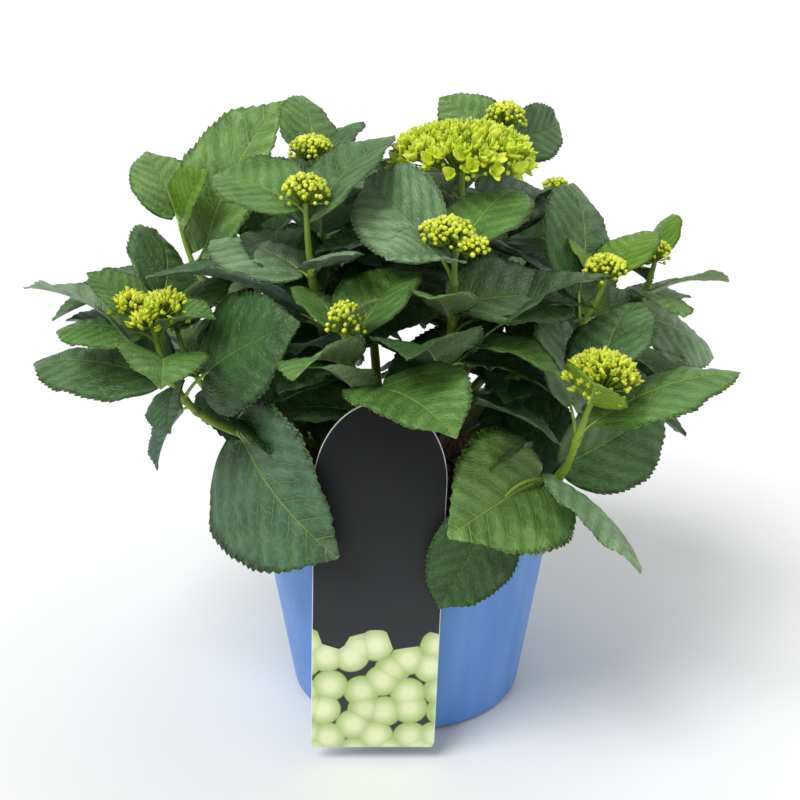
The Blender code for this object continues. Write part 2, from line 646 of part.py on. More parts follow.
def make_tie(line, material):
    curve = bpy.data.curves.new("tag_tie", "CURVE")
    curve.dimensions = "3D"
    curve.bevel_depth = TIE_RADIUS
    curve.bevel_resolution = 0
    curve.resolution_u = 3
    way = tie_path(line)
    spline = curve.splines.new("BEZIER")
    spline.bezier_points.add(len(way) - 1)
    for point, place in zip(spline.bezier_points, way):
        point.co = place
        point.handle_left_type = point.handle_right_type = "AUTO"
    spline.use_cyclic_u = True
    curve.materials.append(material)
    tie = bpy.data.objects.new("tag_tie", curve)
    bpy.context.scene.collection.objects.link(tie)
    return tie


def make_tag(material):
    tag = solid("hang_tag", tag_shape(), material, smooth=False)
    hole = TAG_TOP - TAG_HOLE_DROP
    bpy.ops.mesh.primitive_cylinder_add(vertices=16, radius=TAG_HOLE, depth=10 * TAG_THICK,
                                        location=(tag_middle(hole), -TAG_FRONT, hole),
                                        rotation=(math.pi / 2, 0, 0))
    punch = bpy.context.object
    punch.name = "tag_punch"
    cut(tag, punch)
    return tag


def build():
    for piece in list(bpy.data.objects):
        bpy.data.objects.remove(piece)
    green_wood = finish("green stem", (0.28, 0.38, 0.05), 0.5)
    old_wood = finish("old wood", (0.16, 0.10, 0.06), 0.8)
    leaf_green = finish("leaf", (0.06, 0.16, 0.05), 0.55)
    make_pot(finish("blue polypropylene", (0.09, 0.22, 0.53), 0.4))
    solid("soil", turned_shape(soil_profile(), 40), finish("peat", (0.03, 0.02, 0.013), 0.95))
    knobs = {name: knob_shape(name) for name in KNOBS}
    for name, shape in knobs.items():
        solid(f"woody_stem_{name}", shape, old_wood)
    standing = [turned_shape(((0, 0), (BASE_RADIUS, 0), (RIM_RADIUS, POT_HEIGHT - BEAD_DEPTH),
                              (RIM_RADIUS, POT_HEIGHT + 1 * MM), (RIM_RADIUS - 5 * MM, POT_HEIGHT + 1 * MM),
                              (inner_radius(SOIL_TOP), SOIL_TOP), (0, SOIL_TOP)), 48), tag_shape()]
    lines = {shoot.name: shoot_line(shoot) for shoot in SHOOTS}
    way = tie_path(lines["centre_left"])
    standing += [tube(way, [TIE_RADIUS + 0.6 * MM] * len(way), 6), *knobs.values()]
    heads, grown = grow(lines, standing)
    for shoot in SHOOTS:
        line = lines[shoot.name]
        solid(f"bough_{shoot.name}", bough_shape(shoot, line, 5), green_wood)
        shapes = [stem_piece(line, 0.0, bare_from(shoot), 8)] + heads[shoot.name]
        shapes += [leaf_shape(leaf, line, LEAF_THICK) for leaf in grown[shoot.name]]
        fuse(f"foliage_{shoot.name}", shapes, leaf_green)
    make_tag(finish("black polypropylene sheet", (0.02, 0.02, 0.022), 0.45))
    make_tie(lines["centre_left"], finish("cream tie", (0.65, 0.57, 0.36), 0.6))


build()
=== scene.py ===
"""Looks for a young hydrangea shrub in its plastic pot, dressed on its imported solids.

Metres, +Z up; the origin is the middle of the pot's flat underside and -Y is the front.

The shoots grow here again by the same rule as their solids, so every fine leaf, stalk and bud lies
where its solid lies.  Each new piece is a surface worked out as whole arrays: a leaf blade is a
function of the way along it and across it, a stem or stalk is a ring carried along a curve, a bud
head is one small bud stamped along a spiral, and pot and soil are a profile turned round Z.
"""

import math
import random
from collections import namedtuple

import bpy
import numpy as np
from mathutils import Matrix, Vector
from mathutils.bvhtree import BVHTree


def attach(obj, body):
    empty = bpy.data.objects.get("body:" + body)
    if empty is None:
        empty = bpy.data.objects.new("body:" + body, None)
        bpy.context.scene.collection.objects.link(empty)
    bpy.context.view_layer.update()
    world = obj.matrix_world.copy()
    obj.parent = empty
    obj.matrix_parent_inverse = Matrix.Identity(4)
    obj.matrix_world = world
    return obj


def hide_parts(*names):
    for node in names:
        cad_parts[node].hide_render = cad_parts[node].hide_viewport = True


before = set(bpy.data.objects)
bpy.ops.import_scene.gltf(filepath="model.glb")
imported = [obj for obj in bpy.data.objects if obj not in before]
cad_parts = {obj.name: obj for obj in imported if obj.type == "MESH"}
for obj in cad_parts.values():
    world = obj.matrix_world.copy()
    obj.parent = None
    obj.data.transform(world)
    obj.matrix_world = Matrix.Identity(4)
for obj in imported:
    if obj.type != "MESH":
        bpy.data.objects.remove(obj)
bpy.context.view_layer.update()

MM = 0.001
GAP = 0.3 * MM                       # between two solids that touch

# ---- pot, soil and tag ------------------------------------------------------------------------
POT_HEIGHT = 178 * MM
RIM_RADIUS = 115 * MM
BASE_RADIUS = 85.5 * MM
POT_WALL = 2.0 * MM
POT_FLOOR = 3.0 * MM
COLLAR_DROP = 60 * MM                # the wider top band of the pot
COLLAR_STEP = 0.8 * MM
RIM_BEAD = 2.2 * MM                  # how far the bead round the rim stands out
BEAD_DEPTH = 7 * MM
RIM_EDGE = 0.7 * MM                  # bevel of the rim
FOOT_CHAMFER = 2.5 * MM
NOTCHES = 8                          # drain notches round the foot
NOTCH_WIDTH = 13 * MM
NOTCH_HEIGHT = 3.5 * MM
NOTCH_DEPTH = 16 * MM
SOIL_TOP = 158 * MM

TAG_WIDTH = 84 * MM
TAG_FOOT = 10 * MM                   # height of its lower edge
TAG_SHOULDER = 205 * MM              # where the arch of its top begins
TAG_TOP = 261 * MM
TAG_THICK = 1.0 * MM
TAG_FRONT = RIM_RADIUS + 1.6 * MM    # its front face, just clear of the pot's rim
TAG_X = -17 * MM                     # its middle line at the shoulder
TAG_TILT = 1.9                       # degrees out of plumb
TAG_HOLE = 2.7 * MM                  # radius
TAG_HOLE_DROP = 6.5 * MM             # its middle below the top edge
TIE_RADIUS = 0.9 * MM
TIE_HEIGHT = 239 * MM                # where it goes round the stem

# ---- wood ------------------------------------------------------------------------------------
KNOB_RADIUS = 13 * MM
KNOB_HEIGHT = 186 * MM               # height of a knob's middle
WOOD_FOOT = 10.5 * MM                # radius where old wood meets the soil
WOOD_NECK = 7.5 * MM
KNOBS = {
    "left": (-32 * MM, 0),
    "right": (34 * MM, -6 * MM),
    "back_left": (-19 * MM, 38 * MM),
    "front": (0, -36 * MM),
    "back_right": (20 * MM, 35 * MM),
}

# ---- shoots and leaves -------------------------------------------------------------------------
BOUGH_FOOT = 4.0 * MM                # radius of a bough where it leaves the knob
SHOOT_TIP = 1.8 * MM                 # radius just under the flower head
STEM_SIDES = 6
STALK_FOOT = 2.1 * MM
STALK_TIP = 1.4 * MM
BARE_BELOW = 12 * MM                 # a mass begins this far below its lowest leaf
LEAF_THICK = 2.4 * MM                # at the midrib, thinning to the edge
ELBOW_ROOM = 1.7                     # a leaf is tried for room this many times as thick
LEAF_ROWS = (0.10, 0.32, 0.60, 0.84)     # shares of the length where a large leaf is measured off
SMALL_ROWS = (0.12, 0.42, 0.78)
SMALL_LEAF = 72                          # millimetres, the longest leaf that has the small rows
STALK_SHARE = 0.22                   # stalk length as a share of its leaf
SPACE_RADIUS = 300 * MM              # no leaf reaches further from the pot's axis
SPACE_FLOOR = 60 * MM                # nor lower than this

# drop: mm below the shoot's tip; turn: degrees round Z from +X; rise: degrees above level from the
# leaf's foot to its tip; length: mm; roll: degrees about that line; arch: per cent of the length;
# fold: degrees that each half stands up; stalk: mm; width: share of the length
Leaf = namedtuple("Leaf", "drop turn rise length roll arch fold stalk width swing",
                  defaults=(0, 8, 15, None, 0.78, 0))
# sweep: degrees from upright where it leaves the knob; reach: how far that direction holds;
# lean: degrees from upright at its tip; climb: how far that direction holds
Shoot = namedtuple("Shoot", "name knob tip sweep reach lean climb domes leaves",
                   defaults=((), ()))
# one dome of a flower head: offset from the shoot's tip, radius and height, all mm
Dome = namedtuple("Dome", "x y z radius height")

SHOOTS = (
    Shoot("left", "left", (-166, -50, 294), 83, 0.62, 3, 0.34,
          (Dome(9, 0, 4, 16, 13), Dome(-15, 3, 4, 13, 12), Dome(-4, -9, -3, 10, 9)),
          (Leaf(10, 160, 35, 50, roll=-15),
           Leaf(10, -30, 15, 45, roll=15, fold=30),
           Leaf(18, 160, -5, 66, roll=-10, fold=-10),
           Leaf(18, 55, 20, 64, roll=-10, fold=-10, stalk=20),
           Leaf(34, -80, 5, 80, roll=-10, stalk=20),
           Leaf(30, 100, 20, 96, roll=50, fold=0, stalk=42),
           Leaf(62, 160, 0, 98, roll=-10, fold=-10, stalk=25),
           Leaf(61, -31, 31, 88, roll=63, fold=-3, stalk=32, width=0.91),
           Leaf(54, 160, 25, 108, roll=17, arch=13),
           Leaf(52, -85, -20, 45, roll=40, stalk=10),
           Leaf(74, 165, -65, 52, fold=40, width=0.5),
           Leaf(115, -47, -28, 110, roll=79, fold=12, stalk=33, width=1.05, swing=-42))),
    Shoot("centre_left", "front", (-38, -90, 297), 35, 0.42, 0, 0.38,
          (Dome(0, 0, 3, 12, 15),),
          (Leaf(6, -25, 50, 32, fold=35, width=0.62),
           Leaf(10, 120, 15, 60, roll=20, fold=0),
           Leaf(15, 60, 20, 74, fold=20),
           Leaf(26, 230, 10, 68, roll=25, arch=14, stalk=5),
           Leaf(52, -60, -2, 87, roll=8, fold=14, stalk=29, width=0.88),
           Leaf(52, 240, 30, 58))),
    Shoot("right_low", "right", (120, -90, 260), 95, 0.78, 22, 0.62,
          (Dome(2, 0, 4, 23, 18),),
          (Leaf(17, -99, 31, 59, roll=-32, fold=9, stalk=11),
           Leaf(9, 65, 20, 80, roll=-15, fold=0, stalk=20),
           Leaf(38, 10, 15, 95, fold=-10),
           Leaf(42, 100, 40, 82, roll=40, fold=-5, stalk=28),
           Leaf(80, 35, 15, 92, roll=70, fold=20, stalk=15),
           Leaf(86, -129, -2, 102, roll=-44, fold=12, stalk=10, width=0.9),
           Leaf(88, -60, -20, 88, roll=-35, fold=-15, stalk=18),
           Leaf(80, 187, -63, 76, roll=-80, fold=20, arch=2, stalk=63, swing=40))),
    Shoot("centre", "front", (30, -60, 345), 30, 0.42, 0, 0.38,
          (Dome(-5, 0, 3, 19, 14), Dome(11, -7, -2, 10, 9)),
          (Leaf(12, 225, 10, 58, roll=-20, fold=20, stalk=5),
           Leaf(10, 60, 20, 78, fold=-5, stalk=20),
           Leaf(26, 125, 25, 86, roll=-50, fold=25, stalk=28),
           Leaf(42, 30, -10, 95, roll=25, fold=10, stalk=6, arch=10),
           Leaf(52, 230, 25, 58))),
    Shoot("upper_left_front", "left", (-66, -25, 366), 20, 0.42, 0, 0.38,
          (Dome(0, 0, 3, 16, 14),),
          (Leaf(9, 145, 10, 74, roll=-25, fold=10, stalk=10),
           Leaf(16, 45, 25, 88, roll=-5, fold=10, stalk=8),
           Leaf(56, 140, 5, 90, roll=-5, fold=-15, stalk=14),
           Leaf(50, -60, 20, 54, fold=-10, stalk=12),
           Leaf(75, 125, 20, 82))),
    Shoot("crown", "back_right", (38, 25, 377), 35, 0.42, 0, 0.38,
          (Dome(0, 0, 6, 49, 27),),
          (Leaf(25, 120, 0, 80),
           Leaf(25, 30, -15, 72, roll=25, fold=0, stalk=20),
           Leaf(60, 210, 10, 92))),
    Shoot("right_high", "right", (136, 0, 309), 28, 0.42, 8, 0.38,
          (Dome(0, 0, 3, 15, 12),),
          (Leaf(8, 50, 20, 60, roll=-5, fold=0),
           Leaf(10, 115, 30, 46, roll=35, fold=-5),
           Leaf(38, 35, -5, 66, roll=5, fold=20, arch=12, stalk=10),
           Leaf(38, 88, 44, 94, roll=45, fold=-5, stalk=25, width=0.92))),
    Shoot("left_tip", "left", (-172, 100, 327), 55, 0.42, 12, 0.38, (),
          (Leaf(4, -49, 48, 54, roll=80, fold=18, stalk=10, width=0.86),
           Leaf(6, 125, 40, 64, roll=-5, fold=5, width=0.85),
           Leaf(36, 0, 60, 126, roll=40, fold=10, stalk=18, width=0.8))),
    Shoot("upper_left", "back_left", (-67, 50, 383), 30, 0.42, 8, 0.38,
          (Dome(0, 0, 3, 16, 12),),
          (Leaf(12, 115, 25, 66, roll=25, fold=-5),
           Leaf(10, 70, 15, 70, roll=-20, fold=-5, stalk=10),
           Leaf(60, 55, 25, 96, roll=-20, fold=-15, stalk=6))),
    Shoot("crown_back", "back_right", (73, 100, 400), 22, 0.42, 5, 0.38,
          (Dome(0, 0, 3, 15, 12),),
          (Leaf(17, 141, 27, 62, roll=-40, fold=-6, stalk=6),
           Leaf(20, 48, 8, 66, roll=70, fold=20, stalk=9, width=0.7))),
    Shoot("right_back", "right", (183, 60, 307), 65, 0.42, 12, 0.38,
          (Dome(0, 0, 3, 11, 11),),
          (Leaf(8, 65, 30, 50, roll=-35, fold=-10),
           Leaf(30, 25, 0, 74, roll=-20, fold=5, stalk=8),
           Leaf(28, -75, -15, 56, roll=-15, fold=-5, stalk=9),
           Leaf(50, 25, -30, 84, roll=35, fold=-15, stalk=12))),
    Shoot("back_right", "back_right", (113, 100, 348), 62, 0.42, 8, 0.38,
          (Dome(0, 0, 3, 10, 9),),
          (Leaf(12, 245, -5, 54, stalk=8),
           Leaf(8, 80, -35, 50))),
    # the hidden side, whose leaves come from the rule alone
    Shoot("rear_left", "back_left", (-125, 95, 320), 70, 0.42, 10, 0.38, (Dome(0, 0, 3, 15, 12),)),
    Shoot("rear", "back_left", (-32, 150, 338), 45, 0.42, 8, 0.38, (Dome(0, 0, 3, 20, 14),)),
    Shoot("rear_right", "back_right", (62, 172, 292), 75, 0.42, 12, 0.38, (Dome(0, 0, 3, 15, 12),)),
    Shoot("rear_far_right", "right", (150, 130, 262), 95, 0.50, 12, 0.40, (Dome(0, 0, 3, 13, 11),)),
    Shoot("rear_far_left", "left", (-178, 88, 250), 97, 0.50, 10, 0.40, (Dome(0, 0, 3, 14, 12),)),
)
# drop, length and rise of the rule's crossed pairs, from the shoot's tip down
PAIRS = ((9, 50, 42), (30, 80, 28), (62, 98, 10), (92, 100, -4))
# the pairs that the rule adds to a shoot that has a table; rear_far_left has lost its lowest pair
LOWER_PAIRS = {"crown": (2, 3), "crown_back": (2, 3), "upper_left": (2, 3), "back_right": (2, 3),
               "left_tip": (2, 3), "right_back": (3,), "right_high": (3,), "centre": (3,),
               "upper_left_front": (3,), "rear_far_left": (0, 1, 2)}
# turn and rise added, in degrees, and share of its length, when a leaf's own place is taken
NUDGES = ((0, 0, 1), (0, 6, 1), (0, -6, 1), (7, 0, 1), (-7, 0, 1), (7, 6, 1), (-7, 6, 1), (7, -6, 1),
          (-7, -6, 1), (0, 12, 1), (0, -12, 1), (14, 0, 1), (-14, 0, 1), (14, 10, 1), (-14, 10, 1),
          (14, -10, 1), (-14, -10, 1), (0, 20, 1), (0, -20, 1), (24, 0, 1), (-24, 0, 1), (24, 12, 1),
          (-24, 12, 1), (24, -12, 1), (-24, -12, 1))
SEARCH = tuple((turn, rise, share) for share in (1, 0.82, 0.68)
               for turn in (0, 20, -20, 40, -40, 65, -65, 90, -90) for rise in (0, 14, -14, 28, -28))


# ---- curves and shapes, all as arrays of points and lists of faces ------------------------------

def unit(vector):
    return vector / np.linalg.norm(vector)


def shoot_line(shoot):
    """The shoot's cubic curve from its knob to its tip: points, and their distance below the tip."""
    knob = np.array((*KNOBS[shoot.knob], KNOB_HEIGHT))
    tip = np.array(shoot.tip) * MM
    out = unit((tip - knob) * (1, 1, 0))
    upright = np.array((0, 0, 1.0))
    sweep = math.radians(shoot.sweep)
    lean = math.radians(shoot.lean)
    start = math.cos(sweep) * upright + math.sin(sweep) * out
    foot = knob + (KNOB_RADIUS + GAP) * start
    span = np.linalg.norm(tip - foot)
    first = foot + shoot.reach * span * start
    second = tip - shoot.climb * span * (math.cos(lean) * upright + math.sin(lean) * out)
    t = np.linspace(0, 1, 61)[:, None]
    points = ((1 - t) ** 3 * foot + 3 * t * (1 - t) ** 2 * first
              + 3 * t * t * (1 - t) * second + t ** 3 * tip)
    run = np.concatenate(((0.0,), np.cumsum(np.linalg.norm(np.diff(points, axis=0), axis=1))))
    return points, run[-1] - run


def along(line, drop):
    """The point that lies a given distance below the tip of a shoot's line."""
    points, drops = line
    return np.array([np.interp(-drop, -drops, points[:, axis]) for axis in range(3)])


def stem_radius(line, drop):
    return SHOOT_TIP + (BOUGH_FOOT - SHOOT_TIP) * drop / line[1][0]


def tube(points, radii, sides, paths=None):
    """A closed tube through points: each ring lies square to the path, both ends are flat."""
    points = np.asarray(points)
    if paths is None:
        paths = np.gradient(points, axis=0)
    side = np.cross(paths[0], (0.31, 0.95, 0.05))
    rings = []
    for centre, path, radius in zip(points, paths, radii):
        path = unit(path)
        side = unit(side - path * np.dot(side, path))
        turn = np.linspace(0, 2 * math.pi, sides, endpoint=False)[:, None]
        rings.append(centre + radius * (np.cos(turn) * side + np.sin(turn) * np.cross(path, side)))
    faces = []
    for ring in range(len(points) - 1):
        for k in range(sides):
            a = ring * sides + k
            b = ring * sides + (k + 1) % sides
            faces.append((a, b, b + sides, a + sides))
    last = (len(points) - 1) * sides
    faces.append(tuple(reversed(range(sides))))
    faces.append(tuple(range(last, last + sides)))
    return np.concatenate(rings), faces


def stem_piece(line, top, bottom, rings):
    drops = np.linspace(bottom, top, rings)
    paths = [along(line, d - 1 * MM) - along(line, d + 1 * MM) for d in drops]
    radii = [stem_radius(line, d) for d in drops]
    return tube([along(line, d) for d in drops], radii, STEM_SIDES, paths)


def aim(turn, rise):
    turn, rise = math.radians(turn), math.radians(rise)
    return np.array((math.cos(rise) * math.cos(turn), math.cos(rise) * math.sin(turn), math.sin(rise)))


def leaf_axes(leaf):
    """Along the leaf, to its left, and out of its upper face."""
    forward = aim(leaf.turn, leaf.rise)
    level = np.array((-math.sin(math.radians(leaf.turn)), math.cos(math.radians(leaf.turn)), 0.0))
    square = np.cross(forward, level)
    roll = math.radians(leaf.roll)
    left = level * math.cos(roll) + square * math.sin(roll)
    return forward, left, np.cross(forward, left)


def half_width(u):
    """Share of the greatest half width at u, 0 at the leaf's foot and 1 at its tip: a round foot,
    widest at 0.38, and sides that turn hollow where they run out into the tip."""
    widest = 0.385
    shape = (u / widest) ** 0.5 * ((1 - u) / (1 - widest)) ** 0.8
    near_tip = np.clip((u - 0.78) / 0.22, 0, 1)
    return shape * (1 - 0.30 * near_tip ** 2 * (3 - 2 * near_tip))


def leaf_point(leaf, foot, u, v):
    """The point at u along the leaf and v across it, -1 to 1, on the leaf's middle surface."""
    forward, left, outward = leaf_axes(leaf)
    length = leaf.length * MM
    across = leaf.width * length / 2 * half_width(u) * v
    back = 0.10 * abs(v) * (1 - u) ** 3
    fold = math.radians(leaf.fold)
    lift = abs(across) * math.sin(fold) + leaf.arch / 100 * length * 4 * u * (1 - u)
    return foot + (u - back) * length * forward + across * math.cos(fold) * left + lift * outward


def stalk_length(leaf):
    return (STALK_SHARE * leaf.length if leaf.stalk is None else leaf.stalk) * MM


def leaf_foot(leaf, line):
    """The stalk leaves the stem at a steeper angle than its leaf's, and may swing to one side."""
    return along(line, leaf.drop * MM) + stalk_length(leaf) * aim(leaf.turn + leaf.swing,
                                                                  0.5 * leaf.rise + 30)


def leaf_shape(leaf, line, thick):
    """A stalk that turns into a leaf: a square tube whose rings widen to a lens with sharp edges."""
    foot = leaf_foot(leaf, line)
    forward, left, outward = leaf_axes(leaf)
    node = along(line, leaf.drop * MM)
    way = unit(foot - node)
    points = []
    for centre, heading, radius in ((node, way, STALK_FOOT), (foot, unit(way + forward), STALK_TIP)):
        side = unit(left - heading * np.dot(left, heading))
        up = np.cross(heading, side)
        points += [centre + radius * side, centre + radius * up,
                   centre - radius * side, centre - radius * up]
    for u in LEAF_ROWS if leaf.length > SMALL_LEAF else SMALL_ROWS:
        middle = leaf_point(leaf, foot, u, 0)
        points += [leaf_point(leaf, foot, u, 1), middle + outward * thick / 2,
                   leaf_point(leaf, foot, u, -1), middle - outward * thick / 2]
    points.append(leaf_point(leaf, foot, 1.0, 0))
    last = len(points) - 5
    faces = [(0, 1, 2, 3)]
    for k in range(4):
        a, b = k, (k + 1) % 4
        faces += [(a + row, a + row + 4, b + row + 4, b + row) for row in range(0, last, 4)]
        faces.append((a + last, len(points) - 1, b + last))
    return np.array(points), faces


def ring_faces(rings, sides):
    """Quads of a closed tube, rings along it and sides round it, and the fans over its two ends,
    whose middles are the last two points. A fan's triangles have -1 for their fourth point."""
    k = np.arange(sides)
    near = (k + 1) % sides
    rows = np.arange(rings - 1)[:, None] * sides
    a, b = (rows + k).ravel(), (rows + near).ravel()
    quads = np.stack((a, b, b + sides, a + sides), axis=1)
    last = (rings - 1) * sides
    none = np.full(sides, -1)
    first_fan = np.stack((np.full(sides, rings * sides), near, k, none), axis=1)
    last_fan = np.stack((np.full(sides, rings * sides + 1), last + k, last + near, none), axis=1)
    return np.concatenate((quads, first_fan, last_fan))


def turned(profile, sides, change=None):
    """A profile of (radius, height) turned round Z, from a pole on the axis to a pole on the axis."""
    profile = np.array(profile)
    turn = np.linspace(0, 2 * math.pi, sides, endpoint=False)[None, :]
    radii = np.broadcast_to(profile[1:-1, :1], (len(profile) - 2, sides))
    heights = np.broadcast_to(profile[1:-1, 1:], (len(profile) - 2, sides))
    if change:
        radii, heights = change(radii, heights, turn)
    rings = np.stack((radii * np.cos(turn), radii * np.sin(turn), heights), axis=2)
    points = np.concatenate((rings.reshape(-1, 3), ((0, 0, profile[0, 1]), (0, 0, profile[-1, 1]))))
    return points, ring_faces(len(profile) - 2, sides)


def dome_middle(dome, tip):
    return tip + np.array((dome.x, dome.y, dome.z)) * MM


def dome_shape(dome, tip):
    """A flat-topped cushion of buds: rings that follow a quarter ellipse, over a low cone."""
    profile = [(share * dome.radius * MM, rise * dome.height * MM) for share, rise in
               ((0, -0.55), (0.45, -0.42), (1.0, 0.0), (0.88, 0.52), (0.50, 0.90), (0, 1))]
    points, faces = turned(profile, 8)
    return points + dome_middle(dome, tip), faces


# ---- growing -------------------------------------------------------------------------------------

def rule_leaves(shoot):
    """Crossed pairs of leaves, each pair a quarter turn from the last, varied by a seeded draw."""
    pairs = LOWER_PAIRS.get(shoot.name, () if shoot.leaves else (0, 1, 2, 3))
    draw = random.Random(shoot.name)
    first = draw.uniform(0, 180)
    rows = []
    for order, (drop, length, rise) in enumerate(PAIRS):
        for side in (0, 180):
            leaf = Leaf(drop + draw.uniform(-3, 3), first + 90 * order + side + draw.uniform(-14, 14),
                        rise + draw.uniform(-9, 9), length * draw.uniform(0.88, 1.08),
                        roll=draw.uniform(-14, 14), arch=draw.uniform(6, 15),
                        fold=draw.uniform(8, 24), width=draw.uniform(0.74, 0.88))
            if order in pairs:
                rows.append(leaf)
    return rows


def bare_from(shoot):
    """How far below a shoot's tip its mass ends and its bare bough begins."""
    return max(leaf.drop for leaf in [*shoot.leaves, *rule_leaves(shoot)]) * MM + BARE_BELOW


def obstacle(shape):
    """A shape's faces, ready to be tried against others."""
    points, faces = shape
    return BVHTree.FromPolygons(points.tolist(), [[k for k in face if k >= 0] for face in faces])


def touches(shape, obstacles):
    mine = obstacle(shape)
    return any(mine.overlap(other) for other in obstacles)


def others_of(shoot, taken):
    """What all the other shoots take up."""
    return [shape for name, shapes in taken.items() if name != shoot.name for shape in shapes]


def inside_space(shape):
    points = shape[0]
    reach = np.hypot(points[:, 0], points[:, 1]).max()
    return points[:, 2].min() > SPACE_FLOOR and reach < SPACE_RADIUS


def grow(lines, standing):
    """Every shoot's leaves that find room, each with its place in the shoot's table or None, and
    what every shoot then takes up: its stem, its flower head and its leaves.

    standing holds what is there before the leaves: pot, soil, wood, tag and tie.
    """
    taken, boughs, grown = {}, {}, {}
    for shoot in SHOOTS:
        line = lines[shoot.name]
        heads = [dome_shape(dome, np.array(shoot.tip) * MM) for dome in shoot.domes]
        taken[shoot.name] = [obstacle(shape) for shape in (stem_piece(line, 0.0, line[1][0], 12), *heads)]
        boughs[shoot.name] = obstacle(stem_piece(line, bare_from(shoot) + GAP, line[1][0], 12))
        grown[shoot.name] = []
    wanted = [(shoot, row, number, NUDGES) for shoot in SHOOTS for number, row in enumerate(shoot.leaves)]
    wanted += [(shoot, row, None, SEARCH) for shoot in SHOOTS for row in rule_leaves(shoot)]
    for shoot, row, number, tries in wanted:
        others = [*standing, boughs[shoot.name], *others_of(shoot, taken)]
        for turn, rise, share in tries:
            leaf = row._replace(turn=row.turn + turn, rise=row.rise + rise, length=row.length * share)
            shape = leaf_shape(leaf, lines[shoot.name], ELBOW_ROOM * LEAF_THICK)
            if inside_space(shape) and not touches(shape, others):
                grown[shoot.name].append((leaf, number))
                taken[shoot.name].append(obstacle(shape))
                break
    return grown, taken


def wall_radius(height):
    """Radius of the pot's outer wall under its collar."""
    return BASE_RADIUS + (RIM_RADIUS - RIM_BEAD - COLLAR_STEP - BASE_RADIUS) * height / POT_HEIGHT


def pot_profile():
    collar = POT_HEIGHT - COLLAR_DROP
    bead = POT_HEIGHT - BEAD_DEPTH
    edge = RIM_EDGE
    return ((0, 0), (BASE_RADIUS - FOOT_CHAMFER, 0), (BASE_RADIUS, FOOT_CHAMFER),
            (wall_radius(collar), collar), (wall_radius(collar) + COLLAR_STEP, collar + COLLAR_STEP),
            (wall_radius(bead) + COLLAR_STEP, bead - 1.5 * MM), (RIM_RADIUS - edge, bead),
            (RIM_RADIUS, bead + edge), (RIM_RADIUS, POT_HEIGHT - edge), (RIM_RADIUS - edge, POT_HEIGHT),
            (RIM_RADIUS - RIM_BEAD - POT_WALL + edge, POT_HEIGHT),
            (wall_radius(POT_HEIGHT) + COLLAR_STEP - POT_WALL, POT_HEIGHT - edge),
            (wall_radius(POT_FLOOR) - POT_WALL, POT_FLOOR), (0, POT_FLOOR))


def inner_radius(height):
    """Radius of the straight inner wall, from the floor to the rim."""
    low = wall_radius(POT_FLOOR) - POT_WALL
    high = wall_radius(POT_HEIGHT) + COLLAR_STEP - POT_WALL
    return low + (high - low) * (height - POT_FLOOR) / (POT_HEIGHT - RIM_EDGE - POT_FLOOR)


def knob_shape(name):
    """Old wood: it stands flat on the soil, narrows, and swells into a round knob."""
    x, y = KNOBS[name]
    low = SOIL_TOP + GAP
    neck = KNOB_HEIGHT - math.sqrt(KNOB_RADIUS ** 2 - WOOD_NECK ** 2)
    profile = [(low, WOOD_FOOT), (low + 5 * MM, WOOD_NECK + 1 * MM), (neck - 2 * MM, WOOD_NECK)]
    for degrees in (-35, -5, 25, 52, 76):
        angle = math.radians(degrees)
        profile.append((KNOB_HEIGHT + KNOB_RADIUS * math.sin(angle), KNOB_RADIUS * math.cos(angle)))
    return tube([(x, y, z) for z, radius in profile], [radius for z, radius in profile], 9)


def tag_middle(height):
    return TAG_X + (height - TAG_SHOULDER) * math.tan(math.radians(TAG_TILT))


def tag_shape():
    """A flat strip with an elliptic arch for its top, hanging a little out of true."""
    arch = TAG_TOP - TAG_SHOULDER
    outline = [(-TAG_WIDTH / 2, TAG_FOOT), (TAG_WIDTH / 2, TAG_FOOT)]
    for turn in np.linspace(0, math.pi, 17):
        outline.append((TAG_WIDTH / 2 * math.cos(turn), TAG_SHOULDER + arch * math.sin(turn)))
    count = len(outline)
    points = [(tag_middle(z) + x, y, z) for y in (-TAG_FRONT, -TAG_FRONT + TAG_THICK) for x, z in outline]
    faces = [tuple(range(count)), tuple(reversed(range(count, 2 * count)))]
    faces += [(k, k + count, (k + 1) % count + count, (k + 1) % count) for k in range(count)]
    return np.array(points), faces


def tie_path(line):
    """The closed way of the tie: through the tag's hole, round the stem behind it, over the top."""
    hole = TAG_TOP - TAG_HOLE_DROP
    x = tag_middle(hole)
    front = -TAG_FRONT - TIE_RADIUS - 0.5 * MM
    middle = -TAG_FRONT + TAG_THICK / 2
    behind = -TAG_FRONT + TAG_THICK + TIE_RADIUS + 1.5 * MM
    rise = TAG_HOLE - TIE_RADIUS - 0.45 * MM
    points, drops = line
    drop = float(np.interp(TIE_HEIGHT, points[:, 2], drops))
    centre = along(line, drop)
    path = unit(along(line, drop - 1 * MM) - centre)
    back = unit(np.array((0, 1.0, 0)) - path * path[1])
    side = np.cross(path, back)
    radius = stem_radius(line, drop) + TIE_RADIUS + 0.5 * MM
    way = [(x, front, hole + rise - 1.2 * MM), (x, middle, hole + rise),
           (x, behind, hole + rise - 1 * MM)]
    for degrees in (-20, 25, 65, 90, 115, 155, 200):
        angle = math.radians(degrees)
        way.append(centre + radius * (side * math.cos(angle) + back * math.sin(angle)))
    way += [(x, behind, TAG_TOP - 1.5 * MM), (x, middle, TAG_TOP + TIE_RADIUS + 0.6 * MM),
            (x, front, TAG_TOP - 1 * MM)]
    return way


# ---- surfaces ------------------------------------------------------------------------------------

